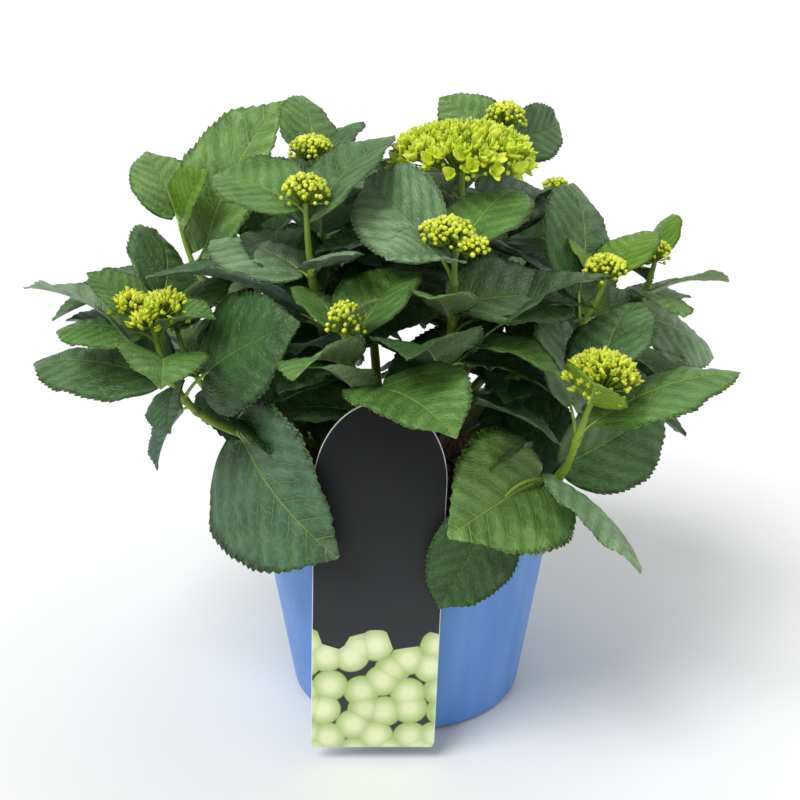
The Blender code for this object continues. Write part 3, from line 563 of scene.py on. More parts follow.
class Batch:
    """Gathers the surfaces of one piece: points, faces as rows of four with -1 where a triangle
    has none, the finish of each face, and for each map two numbers at every face corner."""

    def __init__(self):
        self.points, self.faces, self.slots, self.maps, self.count = [], [], [], [], 0

    def take(self, points, faces, slot=0, **maps):
        self.points.append(points)
        self.faces.append(np.where(faces < 0, -1, faces + self.count))
        self.slots.append(np.broadcast_to(slot, len(faces)))
        self.maps.append(maps)
        self.count += len(points)

    def piece(self, name, slot, finishes, *replaced):
        """Makes the mesh, which rides on the plant's one body, and hides the CAD nodes it replaces."""
        points, faces = np.concatenate(self.points), np.concatenate(self.faces)
        used = faces >= 0
        totals = used.sum(axis=1)
        mesh = bpy.data.meshes.new(name)
        mesh.vertices.add(len(points))
        mesh.vertices.foreach_set("co", points.ravel())
        mesh.loops.add(int(totals.sum()))
        mesh.loops.foreach_set("vertex_index", faces[used])
        mesh.polygons.add(len(faces))
        mesh.polygons.foreach_set("loop_start", np.cumsum(totals) - totals)
        mesh.polygons.foreach_set("material_index", np.concatenate(self.slots))
        mesh.polygons.foreach_set("use_smooth", np.ones(len(faces), dtype=bool))
        for key in self.maps[0]:
            values = np.concatenate([maps[key] for maps in self.maps])
            mesh.uv_layers.new(name=key).data.foreach_set("uv", values[used].astype(float).ravel())
        mesh.update(calc_edges=True)
        for finish in finishes:
            mesh.materials.append(finish)
        made = bpy.data.objects.new(name, mesh)
        bpy.context.scene.collection.objects.link(made)
        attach(made, "root")
        if replaced:
            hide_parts(*replaced)
        return made


def smooth(value, low, high):
    """0 below low, 1 above high, and an even curve between."""
    t = np.clip((value - low) / (high - low), 0, 1)
    return t * t * (3 - 2 * t)


def sweep(path, radii, sides, across):
    """A ring carried along a path: at each point it lies square to the path and starts on the side
    that across points to; its radius may change along the path and round it."""
    ways = np.gradient(path, axis=0)
    ways /= np.linalg.norm(ways, axis=1)[:, None]
    side = across - ways * (ways @ across)[:, None]
    side /= np.linalg.norm(side, axis=1)[:, None]
    up = np.cross(ways, side)
    turn = np.linspace(0, 2 * math.pi, sides, endpoint=False)[None, :, None]
    radii = np.asarray(radii)
    radii = radii[:, None, None] if radii.ndim == 1 else radii[:, :, None]
    rings = path[:, None, :] + radii * (np.cos(turn) * side[:, None] + np.sin(turn) * up[:, None])
    points = np.concatenate((rings.reshape(-1, 3), path[:1], path[-1:]))
    return points, ring_faces(len(path), sides)


def ring_map(faces, rings, sides, along):
    """Map of a tube: 0 to 1 round it, and the given number of each ring."""
    around = np.append(np.tile(np.arange(sides) / sides, rings), (0.5, 0.5))
    level = np.append(np.repeat(along, sides), (along[0], along[-1]))
    corner = np.clip(faces, 0, None)
    u = around[corner]
    wraps = (u.max(axis=1) - u.min(axis=1) > 0.5)[:, None]
    return np.stack((np.where(wraps & (u < 0.5), u + 1, u), level[corner]), axis=2)


def stamp(points, faces, places, frames, sizes):
    """Copies one small surface: each copy is scaled by its sizes, turned to its frame, whose rows
    are its three axes, and set at its place."""
    made = places[:, None] + np.einsum("pk,nk,nkj->npj", points, sizes, frames)
    step = (np.arange(len(places)) * len(points))[:, None, None]
    copied = np.where(faces[None] < 0, -1, faces[None] + step)
    return made.reshape(-1, 3), copied.reshape(-1, 4)


def frames_along(ways, spin):
    """Right-handed axes whose third is the given way, turned about it by spin."""
    ways = ways / np.linalg.norm(ways, axis=1)[:, None]
    side = np.cross(ways, (0.28, 0.93, 0.24))
    side /= np.linalg.norm(side, axis=1)[:, None]
    up = np.cross(ways, side)
    c, s = np.cos(spin)[:, None], np.sin(spin)[:, None]
    return np.stack((c * side + s * up, c * up - s * side, ways), axis=1)


# ---- leaves --------------------------------------------------------------------------------------

BLADE_THICK = 0.55 * MM
TOOTH = 0.016                        # depth of a tooth of the margin, as a share of the leaf
VEINS = 6.6                          # side veins in a leaf's length
VEIN_LEAN = 0.62                     # how far forward a side vein runs for each step outwards
VEIN_CURVE = 0.95                    # and how much more towards the margin
QUILT = 0.018                        # how far the blade swells between its veins, share of length
# rows along a blade and columns across it
FINE_GRID = (96, 17)                 # on the shoots that have a table
PLAIN_GRID = (64, 13)                # on the hidden side
INNER_GRID = (44, 9)                 # for the leaves inside
SMALL_LEAF_LESS = 24                 # rows that a small leaf of the first two kinds does without


def blade_faces(rows, columns):
    """Faces of a blade's upper sheet and of its lower sheet, whose margin points are shared. The
    points are the upper sheet's, the lower sheet's inside its margin, the leaf's foot and its tip."""
    upper = np.arange(rows * columns).reshape(rows, columns)
    lower = upper.copy()
    lower[:, 1:-1] = rows * columns + np.arange(rows * (columns - 2)).reshape(rows, columns - 2)
    foot, tip = rows * (2 * columns - 2), rows * (2 * columns - 2) + 1
    sheets = []
    for sheet, order, turn in ((upper, (0, 1, 2, 3), 1), (lower, (0, 3, 2, 1), -1)):
        quads = np.stack((sheet[:-1, :-1].ravel(), sheet[1:, :-1].ravel(), sheet[1:, 1:].ravel(),
                          sheet[:-1, 1:].ravel()), axis=1)[:, order]
        foots = np.stack((np.full(columns - 1, foot), sheet[0, :-1], sheet[0, 1:]), axis=1)
        tips = np.stack((np.full(columns - 1, tip), sheet[-1, 1:], sheet[-1, :-1]), axis=1)
        ends = np.concatenate((foots, tips))[:, ::turn]
        ends = np.concatenate((ends, np.full((len(ends), 1), -1)), axis=1)
        sheets.append(np.concatenate((quads, ends)))
    return sheets


def both_sheets(upper, lower, ends):
    """What holds at the points of a closed sheet, in the order that blade_faces takes them."""
    kinds = upper.shape[2]
    return np.concatenate((upper.reshape(-1, kinds), lower[:, 1:-1].reshape(-1, kinds), ends))


def blade_surface(leaf, line, rows, columns, phase):
    """A leaf blade. Along it lie rows, across it columns that crowd to the midrib. Its half width
    follows half_width; forward-leaning teeth notch the margin, four rows to a tooth. It swells
    between side veins that curve forwards, sinks at the midrib, and its margins wave. With the
    points come its two maps: own is x and y as shares of the length, span is u and side."""
    foot = leaf_foot(leaf, line)
    forward, left, outward = leaf_axes(leaf)
    length = leaf.length * MM
    u = ((np.arange(rows) + 0.5) / rows)[:, None]
    step = np.linspace(-1, 1, columns)[None, :]
    v = np.sign(step) * np.abs(step) ** 1.6
    side = np.abs(v)
    saw = (np.arange(rows)[:, None] % 4) / 3 - 0.35
    saw = saw * smooth(u, 0.06, 0.16) * (1 - 0.6 * smooth(u, 0.85, 1.0)) * side ** 14
    across = leaf.width * length / 2 * half_width(u) * v + np.sign(v) * TOOTH * length * saw
    back = 0.10 * side * (1 - u) ** 3 - 0.006 * saw
    x = u - back
    y = across / length
    c = (x - np.abs(y) * (VEIN_LEAN + VEIN_CURVE * np.abs(y))) * VEINS + 0.5 * (y > 0)
    puff = 0.5 - 0.5 * np.cos(2 * math.pi * c)
    puff = puff * smooth(np.abs(y), 0.0, 0.07) * (1 - 0.75 * side ** 4) * smooth(1 - u, 0.0, 0.2)
    groove = np.exp(-(y / 0.016) ** 2) * (1 - 0.6 * u)
    wave = np.sin(2 * math.pi * (2.4 * u + phase)) * side ** 3 * 0.014
    wave = wave + 0.006 * np.sin(2 * math.pi * (5.3 * u + 2 * phase + 0.3 * np.sign(v))) * side ** 2
    fold = math.radians(leaf.fold)
    soft = 0.05 * length * smooth(u, 0, 0.2)
    lift = ((np.sqrt(across ** 2 + soft ** 2) - soft) * math.sin(fold)
            + leaf.arch / 100 * length * 4 * u * (1 - u)
            + length * (QUILT * puff - 0.008 * groove + wave * smooth(u, 0, 0.15)))
    middle = (foot + (x * length)[..., None] * forward + (across * math.cos(fold))[..., None] * left
              + lift[..., None] * outward)
    square = np.cross(np.gradient(middle, axis=0), np.gradient(middle, axis=1))
    square /= np.linalg.norm(square, axis=2)[..., None]
    rib = 1.3 * MM * (1 - u) ** 1.2 * np.exp(-(across / (1.3 * MM)) ** 2)
    inner = (side < 1)[..., None]
    upper = middle + square * BLADE_THICK / 2 * inner
    lower = middle - square * ((BLADE_THICK / 2 + rib) * (side < 1))[..., None]
    own = np.stack(np.broadcast_arrays(x, y), axis=2)
    span = np.stack(np.broadcast_arrays(u, side), axis=2)
    ends = ((0.0, 0.0), (1.0, 0.0))
    return (both_sheets(upper, lower, (foot, foot + length * forward)),
            both_sheets(own, own, ends), both_sheets(span, span, ends))


def make_leaves(name, leaves, line, finishes, fine, outer):
    """One piece: a shoot's blades, those after the outer ones coarser. Every blade side has its own
    square of the bake map."""
    batch = Batch()
    draw = random.Random(name + " blades")
    grid = math.ceil(math.sqrt(2 * len(leaves)))
    for number, (leaf, tint) in enumerate(leaves):
        rows, columns = INNER_GRID
        if number < outer:
            rows, columns = FINE_GRID if fine else PLAIN_GRID
            rows -= SMALL_LEAF_LESS * (leaf.length <= SMALL_LEAF)
        points, own, span = blade_surface(leaf, line, rows, columns, draw.random())
        sheets = blade_faces(rows, columns)
        faces = np.concatenate(sheets)
        side = np.repeat((0, 1), (len(sheets[0]), len(sheets[1])))
        corner = np.clip(faces, 0, None)
        cell = 2 * number + side
        place = np.stack((cell % grid, cell // grid), axis=1)[:, None]
        share = np.stack((own[:, 1] + 0.5, 0.04 + own[:, 0] * 0.92), axis=1)
        batch.take(points, faces, 2 * tint + side, OFBake=(place + share[corner]) / grid,
                   blade=own[corner], span=span[corner])
    batch.piece(f"leaves_{name}", "foliage", finishes, f"foliage_{name}")


def make_stalks(leaves_of, lines, finish):
    """Every leaf stalk: a ring carried along a curve that leaves the stem steeply, bends over and
    runs on under the blade as its midrib; its foot is widened to clasp the stem, and its upper side
    is grooved."""
    batch = Batch()
    rings, sides = 12, 10
    t = np.linspace(0, 1, rings)[:, None]
    groove = np.exp(-((np.arange(sides)[None, :] - 2.5) / 1.1) ** 2)
    for name, leaves in leaves_of.items():
        for leaf, _ in leaves:
            line = lines[name]
            node = along(line, leaf.drop * MM)
            foot = leaf_foot(leaf, line)
            forward, left, outward = leaf_axes(leaf)
            bend = foot - 0.42 * stalk_length(leaf) * forward
            end = foot + 0.05 * leaf.length * MM * forward - 0.4 * MM * outward
            path = (1 - t) ** 3 * node + 3 * t * (1 - t) ** 2 * (node + (bend - node) * 0.55) \
                + 3 * t * t * (1 - t) * bend + t ** 3 * end
            size = 0.75 + 0.35 * leaf.length / 90
            radii = size * (1.25 - 0.35 * t[:, 0] + 0.9 * (1 - smooth(t[:, 0], 0.0, 0.16))) * MM
            points, faces = sweep(path, radii[:, None] * (1 - 0.16 * groove), sides, left)
            batch.take(points, faces, bark=ring_map(faces, rings, sides, t[:, 0]))
    batch.piece("leaf_stalks", "green_stem", [finish])


# ---- stems ---------------------------------------------------------------------------------------

def make_stems(leaves_of, lines, finish):
    """Every shoot from its knob to its head: rings carried along its curve, tapering, swollen where
    leaves sit, with a slow unevenness round it and along it. The map "mark" holds how near a scar
    lies and the share of the way down from the tip."""
    batch = Batch()
    sides = 14
    for shoot in SHOOTS:
        line = lines[shoot.name]
        draw = random.Random(shoot.name + " bark")
        drops = np.linspace(line[1][0] + 2.5 * MM, 0, int(line[1][0] / (1.6 * MM)))
        path = np.stack([np.interp(-drops, -line[1], line[0][:, axis]) for axis in range(3)], axis=1)
        into_knob = np.clip(drops - line[1][0], 0, None)[:, None]
        path += into_knob * unit(line[0][0] - line[0][1])
        nodes = sorted({round(leaf.drop) for leaf, _ in leaves_of[shoot.name] if leaf.drop > 20})
        away = np.abs(drops[:, None] / MM - np.array(nodes)[None, :])
        swell = np.exp(-(away / 3.2) ** 2).max(axis=1)
        scar = np.exp(-(away / 1.5) ** 2).max(axis=1)
        turn = np.linspace(0, 2 * math.pi, sides, endpoint=False)[None, :]
        start = draw.uniform(0, 6)
        uneven = (0.035 * np.sin(3 * turn + drops[:, None] * 70 + start)
                  + 0.030 * np.sin(2 * turn - drops[:, None] * 190 + 2 * start)
                  + 0.020 * np.sin(5 * turn + drops[:, None] * 420))
        radii = stem_radius(line, drops)[:, None] * (1 + uneven) + 0.8 * MM * swell[:, None]
        across = np.cross(line[0][0] - line[0][-1], line[0][30] - line[0][-1])
        points, faces = sweep(path, radii, sides, unit(across))
        level = np.stack((scar, drops / line[1][0]), axis=1)
        level = np.concatenate((np.repeat(level, sides, axis=0), level[:1], level[-1:]))
        batch.take(points, faces, bark=ring_map(faces, len(drops), sides, drops / MM),
                   mark=level[np.clip(faces, 0, None)])
    batch.piece("stems", "green_stem", [finish], *[f"bough_{shoot.name}" for shoot in SHOOTS])


def make_knobs(finish):
    """The old wood: a knobby foot turned round its own axis, its bark in ridges and cracks."""
    batch = Batch()
    sides, rings = 48, 56
    turn = np.linspace(0, 2 * math.pi, sides, endpoint=False)[None, :]
    t = np.linspace(0, 1, rings)[:, None]
    low = SOIL_TOP + GAP
    for order, name in enumerate(KNOBS):
        x, y = KNOBS[name]
        heights = low + t * (KNOB_HEIGHT + KNOB_RADIUS * 0.985 - low)
        neck = KNOB_HEIGHT - math.sqrt(KNOB_RADIUS ** 2 - WOOD_NECK ** 2)
        ball = np.sqrt(np.clip(KNOB_RADIUS ** 2 - (heights - KNOB_HEIGHT) ** 2, 0, None))
        post = WOOD_NECK + (WOOD_FOOT - WOOD_NECK) * (1 - smooth(heights, low, low + 9 * MM))
        radii = np.where(heights > neck, np.maximum(ball, 0.5 * MM), post)
        ridge = (0.35 * np.sin(7 * turn + 260 * heights + order) + 0.30 * np.sin(11 * turn - 410 * heights)
                 + 0.25 * np.sin(17 * turn + 900 * heights + 2 * order)) * MM
        radii = radii - 0.5 * MM + ridge * 0.5
        path = np.concatenate((np.full((rings, 1), x), np.full((rings, 1), y), heights), axis=1)
        points, faces = sweep(path, radii, sides, np.array((1.0, 0, 0)))
        batch.take(points, faces, bark=ring_map(faces, rings, sides, t[:, 0]))
    batch.piece("old_wood_knobs", "old_wood", [finish], *[f"woody_stem_{name}" for name in KNOBS])


# ---- flower heads --------------------------------------------------------------------------------

OPEN_HEAD = "crown"                  # the shoot whose head is opening
DRAWN_HEADS = ("left", "right_low")  # the shoots whose buds are drawn out like fingers
FLORETS = 165
SEPALS = 4                           # of one floret
CLOSED_BUDS = 260                    # between the florets


def bead_template(rings, sides, point=0.0):
    """A closed bud: rings between two poles, one unit long from its foot at 0, and half as wide;
    point draws its top out."""
    t = np.arange(1, rings + 1) / (rings + 1)
    radii = np.sin(math.pi * t) ** 0.8 * 0.5 * (1 - point * t ** 3)
    turn = np.linspace(0, 2 * math.pi, sides, endpoint=False)
    body = np.stack((radii[:, None] * np.cos(turn), radii[:, None] * np.sin(turn),
                     np.broadcast_to(t[:, None], (rings, sides))), axis=2)
    points = np.concatenate((body.reshape(-1, 3), ((0, 0, 0.0), (0, 0, 1.0))))
    return points, ring_faces(rings, sides)


def shrunk(dome, less_radius, less_height):
    return dome._replace(radius=dome.radius - less_radius, height=dome.height - less_height)


def dome_places(dome, tip, count, draw, crowd):
    """Places spread over a dome by the golden angle, evenly at crowd 0.5 and closer at its rim below
    that, and the way each one faces."""
    centre = dome_middle(dome, tip)
    order = (np.arange(count) + 0.5) / count
    reach = order ** crowd * (1 + draw.normal(0, 0.02, count))
    turn = np.arange(count) * math.pi * (3 - math.sqrt(5)) + draw.normal(0, 0.12, count)
    rise = np.sqrt(np.clip(1 - reach ** 2, 0.0, None))
    rise = rise - 0.35 * smooth(reach, 0.85, 1.1)
    shape = np.stack((reach * np.cos(turn), reach * np.sin(turn), rise), axis=1)
    size = np.array((dome.radius, dome.radius, dome.height)) * MM
    ways = shape / size
    ways[:, 2] = np.abs(ways[:, 2]) + 0.25 * np.linalg.norm(ways, axis=1)
    return centre, centre + shape * size, ways / np.linalg.norm(ways, axis=1)[:, None], reach


def head_twigs(batch, tip, centre, places):
    """Hair-thin twigs from below the head to each place on it, four-sided and tapering."""
    count = len(places)
    template, faces = bead_template(2, 4)
    template = template * (1, 1, 0) + np.array((0, 0, 1.0)) * template[:, 2:]
    root = np.broadcast_to(tip - (0, 0, 4 * MM), places.shape) * 0.55 + (centre * 0.45)
    root = root + (places - centre) * (0.25, 0.25, 0)
    ways = places - root
    long = np.linalg.norm(ways, axis=1)
    sizes = np.stack((np.full(count, 1.3 * MM), np.full(count, 1.3 * MM), long * 1.02), axis=1)
    batch.take(*stamp(template, faces, root, frames_along(ways, np.zeros(count)), sizes))


def make_bud_heads(finishes, twig_finish):
    """Closed heads: a round bead on each twig, or three together, drawn out like fingers."""
    heads = Batch()
    twigs = Batch()
    for shoot in SHOOTS:
        if shoot.name == OPEN_HEAD:
            continue
        drawn = shoot.name in DRAWN_HEADS
        tip = np.array(shoot.tip) * MM
        draw = np.random.default_rng(sum(shoot.name.encode()))
        for dome in shoot.domes:
            pitch = (4.3 if drawn else 3.1) * MM
            area = math.pi * (dome.radius * MM) ** 2 * (1 + 0.5 * dome.height / dome.radius)
            count = int(1.15 * area / pitch ** 2)
            centre, places, ways, _ = dome_places(dome, tip, count, draw, 0.46)
            head_twigs(twigs, tip, centre, places - ways * 1.5 * MM)
            copies = 3 if drawn else 1
            places = np.repeat(places, copies, axis=0)
            ways = np.repeat(ways, copies, axis=0)
            count = len(places)
            if drawn:
                ways = ways + draw.normal(0, 0.34, (count, 3))
                ways /= np.linalg.norm(ways, axis=1)[:, None]
                places = places + draw.normal(0, 0.9 * MM, (count, 3))
                long = draw.uniform(4.4, 7.2, count) * MM
                wide = draw.uniform(2.2, 3.0, count) * MM
            else:
                places = places + draw.normal(0, 0.35 * MM, (count, 3))
                places = places + ways * draw.normal(0, 0.5 * MM, count)[:, None]
                long = draw.uniform(3.0, 4.0, count) * MM
                wide = long * draw.uniform(0.86, 1.0, count)
            template, faces = bead_template(4, 7, 0.35 if drawn else 0.12)
            frames = frames_along(ways, draw.uniform(0, 6, count))
            sizes = np.stack((wide, wide, long), axis=1)
            points, faces = stamp(template, faces, places - ways * long[:, None] * 0.5, frames, sizes)
            slots = np.repeat(draw.integers(0, 3, count), len(faces) // count)
            heads.take(points, faces, slots)
    heads.piece("flower_buds", "foliage", finishes)
    twigs.piece("bud_twigs", "green_stem", [twig_finish])


def sepal_template():
    """A cupped sepal, closed: a rounded blade from its foot at 0 to its tip at 1, hollow above."""
    rows, columns = 5, 5
    u = ((np.arange(rows) + 0.5) / rows)[:, None]
    v = np.linspace(-1, 1, columns)[None, :]
    wide = 0.42 * np.sin(math.pi * np.clip(u, 0, 1) ** 0.75) ** 0.7
    x = np.broadcast_to(u, (rows, columns))
    y = wide * v
    z = 0.55 * y ** 2 / 0.42 + 0.30 * u * (u - 0.15)
    middle = np.stack((x, y, z), axis=2)
    inner = (np.abs(v) < 1)[..., None]
    up = np.array((0, 0, 0.045))
    upper, lower = middle + up * inner, middle - up * inner
    points = both_sheets(upper, lower, ((0, 0, 0.0), (1, 0, 0.30)))
    return points, np.concatenate(blade_faces(rows, columns))


def make_open_head(finishes, twig_finish):
    """The opening head: florets of four cupped sepals, half closed within and wide open towards the
    rim, with closed buds between. A sepal's axes are its floret's, turned round it by a quarter for
    each sepal and tipped outwards."""
    batch = Batch()
    twigs = Batch()
    draw = np.random.default_rng(71)
    shoot = next(shoot for shoot in SHOOTS if shoot.name == OPEN_HEAD)
    tip = np.array(shoot.tip) * MM
    dome = shoot.domes[0]
    centre, places, ways, reach = dome_places(shrunk(dome, 5, 5), tip, FLORETS, draw, 0.40)
    head_twigs(twigs, tip, centre, places)
    template, faces = sepal_template()
    count = FLORETS * SEPALS
    spin = np.repeat(draw.uniform(0, 6.3, FLORETS), SEPALS)
    spin = spin + np.tile(np.arange(SEPALS), FLORETS) * 2 * math.pi / SEPALS
    base = frames_along(np.repeat(ways, SEPALS, axis=0), spin + draw.normal(0, 0.15, count))
    rim = np.repeat(smooth(reach, 0.72, 1.0), SEPALS)
    tilt = np.radians(draw.uniform(48, 80, count) - 26 * rim)[:, None]
    forward = np.cos(tilt) * base[:, 0] + np.sin(tilt) * base[:, 2]
    frames = np.stack((forward, base[:, 1], np.cross(forward, base[:, 1])), axis=1)
    long = (draw.uniform(6.2, 9.4, count) + 3.6 * rim * draw.uniform(0.3, 1, count)) * MM
    wide, deep = long * draw.uniform(0.72, 0.98, count), long * draw.uniform(0.8, 1.2, count)
    points, copied = stamp(template, faces, np.repeat(places, SEPALS, axis=0), frames,
                           np.stack((long, wide, deep), axis=1))
    batch.take(points, copied, np.repeat(draw.integers(0, 3, count), len(faces)))
    template, faces = bead_template(4, 7, 0.1)
    _, places, ways, _ = dome_places(shrunk(dome, 7, 8), tip, CLOSED_BUDS, draw, 0.42)
    long = draw.uniform(3.4, 5.2, CLOSED_BUDS) * MM
    points, copied = stamp(template, faces, places, frames_along(ways, np.zeros(CLOSED_BUDS)),
                           np.stack((long * 0.9, long * 0.9, long), axis=1))
    batch.take(points, copied, np.repeat(draw.integers(0, 3, CLOSED_BUDS), len(faces)))
    batch.piece("opening_florets", "foliage", finishes)
    twigs.piece("floret_twigs", "green_stem", [twig_finish])


# ---- pot, soil, tag and tie ----------------------------------------------------------------------

def rounded(corners, radius, steps=4):
    """A profile whose corners are turned into short curves."""
    corners = np.array(corners)
    out = [corners[0]]
    for before, corner, after in zip(corners[:-2], corners[1:-1], corners[2:]):
        first, last = before - corner, after - corner
        cut_back = min(radius, 0.45 * np.linalg.norm(first), 0.45 * np.linalg.norm(last))
        start = corner + unit(first) * cut_back
        end = corner + unit(last) * cut_back
        for t in np.linspace(0, 1, steps):
            out.append((1 - t) ** 2 * start + 2 * t * (1 - t) * corner + t * t * end)
    out.append(corners[-1])
    return np.array(out)


def make_pot(finish):
    """The pot: its profile turned round Z, with eight shallow arches raised in its foot."""
    corners = list(pot_profile())
    corners[1:2] = [(BASE_RADIUS - NOTCH_DEPTH - 1 * MM, 0), (BASE_RADIUS - NOTCH_DEPTH, 0), corners[1]]
    profile = rounded(corners, 0.9 * MM)

    def arches(radii, heights, turn):
        away = np.abs((turn * NOTCHES / (2 * math.pi)) % 1 - 0.5)
        half = NOTCH_WIDTH / 2 / BASE_RADIUS * NOTCHES / (2 * math.pi)
        lift = 0.75 * NOTCH_HEIGHT * (1 - smooth(away, 0.75 * half, 1.05 * half))
        low = (radii >= BASE_RADIUS - NOTCH_DEPTH) & (heights < NOTCH_HEIGHT)
        return radii, np.where(low, np.maximum(heights, lift), heights)

    batch = Batch()
    batch.take(*turned(profile, 320, arches))
    batch.piece("nursery_pot", "blue_polypropylene", [finish], "pot")


def lumps(x, y, seed, waves, shortest, longest):
    """An uneven height over x and y: many small waves of all directions and lengths, summed."""
    draw = np.random.default_rng(seed)
    total = np.zeros(np.broadcast(x, y).shape)
    for _ in range(waves):
        length = draw.uniform(shortest, longest)
        turn = draw.uniform(0, 2 * math.pi)
        push = (x * math.cos(turn) + y * math.sin(turn)) * 2 * math.pi / length
        total += length / longest * np.sin(push + draw.uniform(0, 6.3))
    return total / math.sqrt(waves)


def make_soil(finish):
    """Peat: a disc turned round Z, its top crumbled by many small waves."""
    edge = inner_radius(SOIL_TOP) - GAP
    low = SOIL_TOP - 40 * MM
    radii = np.linspace(edge, 0.6 * MM, 90)
    profile = [(0, low), (inner_radius(low) - GAP, low)]
    profile += [(radius, SOIL_TOP - 1 * MM) for radius in radii] + [(0, SOIL_TOP - 1 * MM)]

    def crumble(radii, heights, turn):
        x, y = radii * np.cos(turn), radii * np.sin(turn)
        coarse = 1.5 * MM * lumps(x, y, 5, 40, 9 * MM, 26 * MM)
        fine = 0.8 * MM * np.abs(lumps(x, y, 9, 50, 2.5 * MM, 7 * MM))
        return radii, np.where(heights > SOIL_TOP - 5 * MM, heights + coarse + fine, heights)

    batch = Batch()
    batch.take(*turned(profile, 300, crumble))
    batch.piece("peat_top", "peat", [finish], "soil")


def make_tag(finish):
    """The hang tag: a flat sheet, straight below its shoulder and an elliptic arch above, its
    margins bevelled, with a punched hole."""
    rise = np.concatenate((np.linspace(TAG_FOOT + 0.2 * MM, TAG_SHOULDER, 60),
                           TAG_SHOULDER + (TAG_TOP - TAG_SHOULDER) * np.sin(np.linspace(0.03, 1.555, 50))))
    share = np.clip((rise - TAG_SHOULDER) / (TAG_TOP - TAG_SHOULDER), 0, 1)
    half = TAG_WIDTH / 2 * np.sqrt(1 - share ** 2)
    inner = half[:, None] - 0.35 * MM
    step = np.linspace(-1, 1, 25)[None, :]
    x = np.concatenate((-half[:, None], inner * step, half[:, None]), axis=1)
    corner = 1.6 * MM * (1 - smooth(rise, TAG_FOOT, TAG_FOOT + 1.6 * MM))[:, None]
    x = np.sign(x) * np.maximum(np.abs(x) - corner * (np.abs(x) > 0.5 * half[:, None]), 0)
    z = np.broadcast_to(rise[:, None], x.shape)
    rows, columns = x.shape
    middle = np.stack((tag_middle(z) + x, np.full(x.shape, -TAG_FRONT + TAG_THICK / 2), z), axis=2)
    edge = np.zeros(x.shape)
    edge[:, 1:-1] = TAG_THICK / 2
    lift = edge[..., None] * np.array((0, 1.0, 0))
    ends = (middle[0, columns // 2] - (0, 0, 0.2 * MM), middle[-1, columns // 2] + (0, 0, 0.02 * MM))
    points = both_sheets(middle + lift, middle - lift, ends)
    batch = Batch()
    batch.take(points, np.concatenate(blade_faces(rows, columns)))
    made = batch.piece("printed_tag", "black_sheet", [finish], "hang_tag")
    hole = TAG_TOP - TAG_HOLE_DROP
    bpy.ops.mesh.primitive_cylinder_add(vertices=40, radius=TAG_HOLE, depth=12 * TAG_THICK,
                                        location=(tag_middle(hole), -TAG_FRONT, hole),
                                        rotation=(math.pi / 2, 0, 0))
    punch = bpy.context.object
    cut = made.modifiers.new("hole", "BOOLEAN")
    cut.operation = "DIFFERENCE"
    cut.object = punch
    made.data = bpy.data.meshes.new_from_object(made.evaluated_get(bpy.context.evaluated_depsgraph_get()))
    made.modifiers.clear()
    bpy.data.objects.remove(punch)
    made.data.set_sharp_from_angle(angle=math.radians(35))


def make_tie(line, finish):
    """The tie: a round band along a closed smooth curve through its turning points."""
    way = np.array(tie_path(line))
    count = len(way)
    t = np.linspace(0, 1, 8, endpoint=False)[:, None]
    path = []
    for k in range(count):
        a, b, c, d = (way[(k + shift) % count] for shift in (-1, 0, 1, 2))
        path.append(b + 0.5 * t * (c - a) + t ** 2 * (a - 2.5 * b + 2 * c - 0.5 * d)
                    + t ** 3 * (1.5 * b - 0.5 * a - 1.5 * c + 0.5 * d))
    path = np.concatenate(path + [path[0][:2]])
    points, faces = tube(path, [TIE_RADIUS * 0.9] * len(path), 12)
    mesh = bpy.data.meshes.new("tie_band")
    mesh.from_pydata([tuple(point) for point in points], [], faces)
    mesh.shade_smooth()
    mesh.materials.append(finish)
    made = bpy.data.objects.new("tie_band", mesh)
    bpy.context.scene.collection.objects.link(made)
    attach(made, "root")
    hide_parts("tag_tie")


# ---- finishes ------------------------------------------------------------------------------------

# real sizes of the patterns
LEAF_PATCH = 21.74 * MM              # a lighter or darker patch of a blade
LEAF_GRAIN = 2.38 * MM
STEM_PATCH = 11.1 * MM
FLECKS_ROUND = 5                     # lenticels side by side round a stem
FLECK_PITCH = 2.38                   # millimetres from one to the next along it
BUD_PATCH = 4.17 * MM
FLOW_WIDTH = 16.67 * MM              # flow streaks of the moulded pot
FLOW_LENGTH = 250 * MM
DUST_PATCH = 29.4 * MM
POT_GRAIN = 0.8 * MM
PEAT_CRUMB = 2.63 * MM
PEAT_PATCH = 7.69 * MM
BAND_PATCH = 3.85 * MM
PETAL_PITCH = 17.24 * MM
PETAL_BED = 84 * MM                  # how high the petals reach up the tag
INK_GRAIN = 1.11 * MM


def linear(code):
    """An sRGB hex colour as linear red, green, blue and 1."""
    parts = [int(code[k:k + 2], 16) / 255 for k in (1, 3, 5)]
    return (*[part / 12.92 if part <= 0.04045 else ((part + 0.055) / 1.055) ** 2.4 for part in parts], 1)


def fill(node, inputs):
    """Fills a node's sockets with values or links. A node given as a value stands for its first live
    output. A Mix takes its share at 0 and two colours at 6 and 7, and a Map Range the value at 0, its
    range at 1 and 2 and the new range, 0 to 1 if none is given, at 3 and 4."""
    for socket, value in inputs.items():
        if isinstance(value, bpy.types.Node):
            value = next(output for output in value.outputs if output.enabled)
        if isinstance(value, bpy.types.NodeSocket):
            node.id_data.links.new(value, node.inputs[socket])
        else:
            node.inputs[socket].default_value = value


def add(tree, kind, inputs=None, **settings):
    """Adds a node with its own settings and fills its sockets."""
    node = tree.nodes.new("ShaderNode" + kind)
    for key, value in settings.items():
        setattr(node, key, value)
    fill(node, inputs or {})
    return node


def finish(name, **values):
    """A named material with its Principled shader's own sockets set."""
    material = bpy.data.materials.new(name)
    material.use_nodes = True
    shader = material.node_tree.nodes["Principled BSDF"]
    for key, value in values.items():
        shader.inputs[key.replace("_", " ")].default_value = value
    return material, material.node_tree, shader


